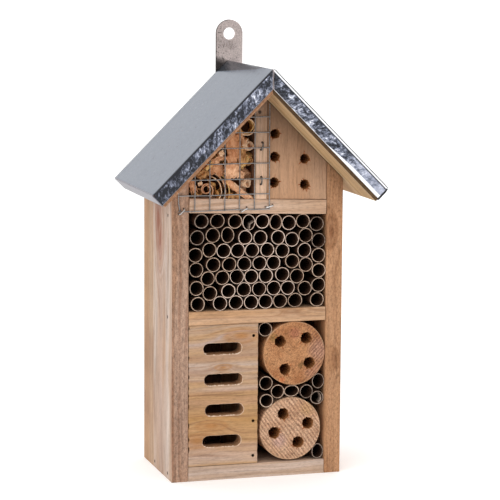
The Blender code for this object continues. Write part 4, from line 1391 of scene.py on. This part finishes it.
def make_bed():
    """The dark heap behind the shavings that can be made out: its near-black wood is painted shade in the
    depths of the pile.
    """
    low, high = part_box("wood_shavings")
    front = low.y + BED_DEPTH
    bm = bmesh.new()
    rows = []
    for x in spread(low.x, high.x, BED_STEPS):
        floor = low.z + (high.x - x) * SHELF_RISE
        top = UNDER_ROOF + x - 0.3 * MM
        row = []
        for z in spread(floor, top, BED_STEPS):
            bulge = ripple(x * 120, z * 120, 2.0)
            bulge += 0.5 * ripple(x * 300, z * 300, 4.0)
            row.append((x, front - BED_SWELL * bulge, z))
        rows.append(ring_of(bm, row))
    skin_rows(bm, rows, closed=False)
    floor_edge = [row[0] for row in rows]
    roof_edge = [row[-1] for row in rows]
    border = floor_edge + rows[-1][1:] + roof_edge[-2::-1] + rows[0][-2:0:-1]
    rear = [bm.verts.new((v.co.x, high.y, v.co.z)) for v in border]
    skin(bm, border, rear)
    bm.faces.new(rear)
    finish_piece(object_from("shavings_heap", bm), "wood_shavings", (SHADED_BED_WOOD,))


def make_chip(name, place, size, lean, tip, bow, look, seed):
    """A flat chip torn off a board, bowed across and ragged at its edges.

    place is its middle as for a shaving, size its width and height in mm, lean its turn in the
    picture and tip how far its top leans back, in degrees; bow is how far it bulges, in mm.
    """
    leaned = Matrix.Rotation(math.radians(-lean), 4, "Y")
    tipped = Matrix.Rotation(math.radians(-tip), 4, "X")
    turned = Matrix.Translation(from_case(place)) @ leaned @ tipped
    rows = []
    for u in spread(-1, 1, CHIP_STEPS):
        row = []
        for v in spread(-1, 1, CHIP_STEPS):
            wide = 1 + 0.55 * ripple(2.6 * v, seed, math.copysign(3, u))
            high = 1 + 0.55 * ripple(2.6 * u, seed + 4, math.copysign(3, v))
            swell = 1.2 * ripple(1.6 * u, 1.6 * v, seed + 8)
            swell += 0.35 * ripple(6 * u, 4 * v, seed + 2)
            flat = (u * wide * size[0] / 2, swell - bow * (1 - u * u), v * high * size[1] / 2)
            row.append(turned @ Vector([c * MM for c in flat]))
        rows.append(row)
    chip = thin_sheet(name, rows, CHIP_THICK)
    finish_piece(chip, "wood_shavings", (look,), smooth=60)


def make_shaving(name, place, axis, heading, length, width, bend, tighten, look, seed):
    """A torn ribbon of planed wood, curled about an axis.

    place is the middle of the curl, in mm from the case's middle, its front and its foot.
    heading is the ribbon's direction about the axis halfway, bend how far it turns from end to
    end, both in degrees, and tighten makes it a spiral.
    """
    axis = Vector(axis).normalized()
    first = Vector((0, 0, 1)).cross(axis)
    first = first.normalized() if first.length > 0.1 else Vector((1, 0, 0))
    second = axis.cross(first)
    steps = max(12, int(abs(bend) / 11))
    here = Vector((0.0, 0.0))
    path = []
    for i in range(steps + 1):
        turn = math.radians(heading - bend / 2 + bend * (i / steps) ** tighten)
        path.append((here.copy(), turn))
        here += Vector((math.cos(turn), math.sin(turn))) * length / steps
    box_low = Vector((min(p.x for p, _ in path), min(p.y for p, _ in path)))
    box_high = Vector((max(p.x for p, _ in path), max(p.y for p, _ in path)))
    middle = (box_low + box_high) / 2
    centre = from_case(place)
    rows = []
    for i, (point, turn) in enumerate(path):
        share = i / steps
        taper = 1 - 0.45 * abs(2 * share - 1) ** 5
        row = []
        for side in spread(-1, 1, CURL_STEPS):
            rag = ripple(share * length / 4, side * 1.3, seed)
            rag += 0.5 * ripple(share * length / 1.6, side * 3, seed + 5)
            out = side * width / 2 * (taper + 0.3 * rag)
            bulge = 0.5 * ripple(share * length / 5, side * 1.1, seed + 9)
            bulge -= 0.05 * width * side ** 2
            flat = point - middle + Vector((math.sin(turn), -math.cos(turn))) * bulge
            row.append(centre + (first * flat.x + second * flat.y + axis * out) * MM)
        rows.append(row)
    shaving = thin_sheet(name, rows, CURL_THICK, offset=0)
    finish_piece(shaving, "wood_shavings", (look,), smooth=60)


SHAVINGS = (  # name, place, axis, heading, length, width, bend, tighten, look
    ("top_roll", (-10.2, 7, 294.6), (-0.05, -1, 0.12), 0, 39, 12, 350, 1.0, GOLD_CURL),
    ("top_roll_lip", (-9.9, 1.8, 294.2), (-0.05, -1, 0.12), 0, 40, 1.5, 345, 1.0, PALE_CURL),
    ("spiral_inner", (-42.6, 5, 242.4), (-0.22, -0.95, 0.12), 20, 46, 7, 640, 1.4, PINK_CHIP),
    ("spiral_middle", (-35.4, 5, 243.6), (-0.27, -0.95, 0.12), 112, 27, 6, 125, 1.0, PALE_CURL),
    ("spiral_outer", (-33.0, 5, 244.6), (-0.27, -0.95, 0.12), 114, 31, 6, 110, 1.0, PALE_CURL),
    ("spiral_last", (-29.8, 6, 246.0), (-0.27, -0.95, 0.12), 118, 31, 6, 95, 1.0, GOLD_CURL),
    ("loop_right", (-10.2, 5, 247.4), (0.75, -1, 0.0), 90, 21, 7, 370, 1.1, PALE_CURL),
    ("curl_right", (-8.3, 7, 279.3), (0.4, -1, 0.2), 60, 30, 8, 430, 1.3, PALE_CURL),
    ("curl_right_low", (-8.2, 8, 267.0), (0.3, -1, -0.3), 30, 22, 8, 300, 1.2, BROWN_CHIP),
    ("sliver_right", (-13.4, 4, 284.0), (0.8, -0.6, 0.5), 60, 13, 2.2, 60, 1.0, PALE_CURL),
    ("left_curl", (-50.8, 8, 240.6), (0.3, -1, 0.2), 50, 18, 8, 300, 1.3, BROWN_CHIP),
)
CHIPS = (  # name, place, size, lean, tip, bow, look
    ("bark_upper", (-21.0, 3.5, 276.8), (11.5, 23), 4, 8, 1.8, BARK_CHIP),
    ("bark_edge", (-13.2, 5, 271.0), (6.5, 14), -8, 5, 1.0, BROWN_CHIP),
    ("bark_high", (-15.5, 7, 285.5), (6, 9), -30, 20, 1.0, BROWN_CHIP),
    ("pale_flake", (-31.2, 2.5, 273.0), (4.6, 4.6), 35, -15, 0.8, PALE_CURL),
    ("flake_beside", (-34.0, 4, 267.6), (10, 4.5), 32, 25, 0.8, PINK_CHIP),
    ("chip_left", (-34.2, 4, 259.4), (12.5, 9.5), -18, 12, 1.2, BARK_CHIP),
    ("chip_middle", (-22.6, 2.2, 258.6), (12.5, 12.5), 8, -4, 1.5, PINK_CHIP),
    ("chip_flap", (-14.6, 4, 255.0), (8, 6), -30, 25, 1.0, PINK_CHIP),
    ("ribbon_lower", (-16.6, 3, 242.6), (26, 4.4), -38, -20, 1.5, PINK_CHIP),
    ("ribbon_edge", (-15.4, 2.4, 243.8), (24, 1.3), -38, -20, 1.5, PALE_CURL),
    ("ribbon_tan", (-22.5, 5, 246.6), (15, 6), -34, 20, 1.2, BARK_CHIP),
    ("ribbon_foot", (-21.5, 4, 237.6), (13, 4.5), -6, 10, 1.0, BROWN_CHIP),
    ("left_white", (-49.2, 3, 248.6), (3.4, 3.2), 20, -20, 0.5, PALE_CURL),
    ("left_brown", (-55.0, 4, 246.0), (6, 9), 12, 15, 1.0, BARK_CHIP),
    ("left_upper", (-45.0, 6, 256.0), (12, 6), 30, 25, 1.0, BROWN_CHIP),
    ("left_top", (-41.0, 4, 262.4), (8, 3), 44, 10, 0.6, GOLD_CURL),
    ("slope_high", (-24.6, 5, 289.6), (8, 5), 40, 25, 0.8, BARK_CHIP),
)
FILLERS = 70
CLEAR = (  # (x, z, reach) kept free of fillers
    (-8.9, 295, 8), (-41.5, 242.6, 7), (-9.2, 247, 5), (-31, 247, 5),
)


def make_shavings():
    """The shavings and chips that can be made out, and small ones scattered between them."""
    for number, shaving in enumerate(SHAVINGS):
        make_shaving("shaving_" + shaving[0], *shaving[1:], 3.0 + number)
    for number, chip in enumerate(CHIPS):
        make_chip("chip_" + chip[0], *chip[1:], 60.0 + 7 * number)
    chance = random.Random(77)
    low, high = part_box("wood_shavings")
    number = 0
    while number < FILLERS:
        x = chance.uniform(low.x + 4 * MM, high.x - 3 * MM)
        z = chance.uniform(low.z + 4 * MM, high.z - 6 * MM)
        size = chance.uniform(4, 10)
        ceiling = UNDER_ROOF + x - (size * 0.7 + 2) * MM
        floor = low.z + (high.x - x) * SHELF_RISE + size * 0.4 * MM
        if z > ceiling or z < floor:
            continue
        if any(math.hypot(x / MM - a, z / MM - b) < reach for a, b, reach in CLEAR):
            continue
        number += 1
        axis = (chance.uniform(-1, 1), -chance.uniform(0.2, 1), chance.uniform(-1, 1))
        look = chance.choice((PINK_CHIP, BARK_CHIP, BARK_CHIP, BROWN_CHIP, BROWN_CHIP, GOLD_CURL))
        place = (x / MM, chance.uniform(9, 14), z / MM)
        heading = chance.uniform(0, 360)
        length = size * chance.uniform(1, 2.2)
        bend = chance.uniform(40, 330)
        name = f"shaving_filler_{number}"
        make_shaving(name, place, axis, heading, length, size, bend, 1.2, look, 40.0 + number)


make_bed()
make_shavings()


# ---------------------------------------------------------------- floor, light and camera

CAMERA_PLACE = (-0.5179, FRONT - 1.6946, 0.4459)  # fitted to the photo, as are the next four
CAMERA_LENS = 156.13
CAMERA_YAW = 0.29277
CAMERA_PITCH = -0.14214
CAMERA_ROLL = 0.007


def make_floor():
    bm = bmesh.new()
    bmesh.ops.create_grid(bm, x_segments=2, y_segments=2, size=12.0)
    floor = object_from("floor", bm)
    made, t, shader = new_material("pale_floor")
    shade = t.step(t.noise(t.position(), 3.0), 0.3, 0.7, 0.96, 0.98)
    plug(t, shader, Base_Color=shade, Roughness=0.9, Specular_IOR_Level=0.1, Emission_Color=(1.0, 1.0, 1.0),
         Emission_Strength=0.16)
    floor.data.materials.append(made)


make_floor()


def make_world():
    """A white studio: bright behind the object, dimmer towards the camera and the left."""
    world = bpy.data.worlds.new("studio")
    world.use_nodes = True
    bpy.context.scene.world = world
    t = Tree(world.node_tree)
    way = t.node("ShaderNodeTexCoord").outputs["Generated"]
    ahead = t.node("ShaderNodeVectorMath", {"operation": "DOT_PRODUCT"}, {0: way, 1: (0.36, 0.93, 0.0)})
    shade = t.step(t.line(ahead.outputs["Value"], 0.5, 0.5), 0.1, 0.6, 0.44, 1.0)
    back = world.node_tree.nodes["Background"]
    world.node_tree.links.new(shade, back.inputs["Color"])
    back.inputs["Strength"].default_value = 1.12


make_world()


def add_sun(name, towards, spread_angle, power, colour=(1.0, 1.0, 1.0)):
    """Light that falls along towards, as soft as a source spread_angle degrees wide."""
    data = bpy.data.lights.new(name, "SUN")
    data.angle = math.radians(spread_angle)
    data.energy = power
    data.color = colour
    lamp = bpy.data.objects.new(name, data)
    lamp.rotation_euler = Vector(towards).to_track_quat("-Z", "Y").to_euler()
    bpy.context.scene.collection.objects.link(lamp)


add_sun("key", (0.80, 0.66, -0.72), 55, 1.15, (1.0, 0.985, 0.96))
add_sun("fill", (-0.7, 0.9, -0.5), 80, 0.35)


def make_camera():
    data = bpy.data.cameras.new("camera")
    data.lens = CAMERA_LENS
    data.sensor_width = 36.0
    camera = bpy.data.objects.new("camera", data)
    level = math.cos(CAMERA_PITCH)
    forward = Vector((math.sin(CAMERA_YAW) * level, math.cos(CAMERA_YAW) * level, math.sin(CAMERA_PITCH)))
    right = Vector((math.cos(CAMERA_YAW), -math.sin(CAMERA_YAW), 0.0))
    up = right.cross(forward)
    tilted_right = right * math.cos(CAMERA_ROLL) + up * math.sin(CAMERA_ROLL)
    tilted_up = up * math.cos(CAMERA_ROLL) - right * math.sin(CAMERA_ROLL)
    turn = Matrix((tilted_right, tilted_up, -forward)).transposed()
    camera.matrix_world = Matrix.Translation(CAMERA_PLACE) @ turn.to_4x4()
    bpy.context.scene.collection.objects.link(camera)
    bpy.context.scene.camera = camera


make_camera()
bpy.context.scene.view_settings.view_transform = "Standard"
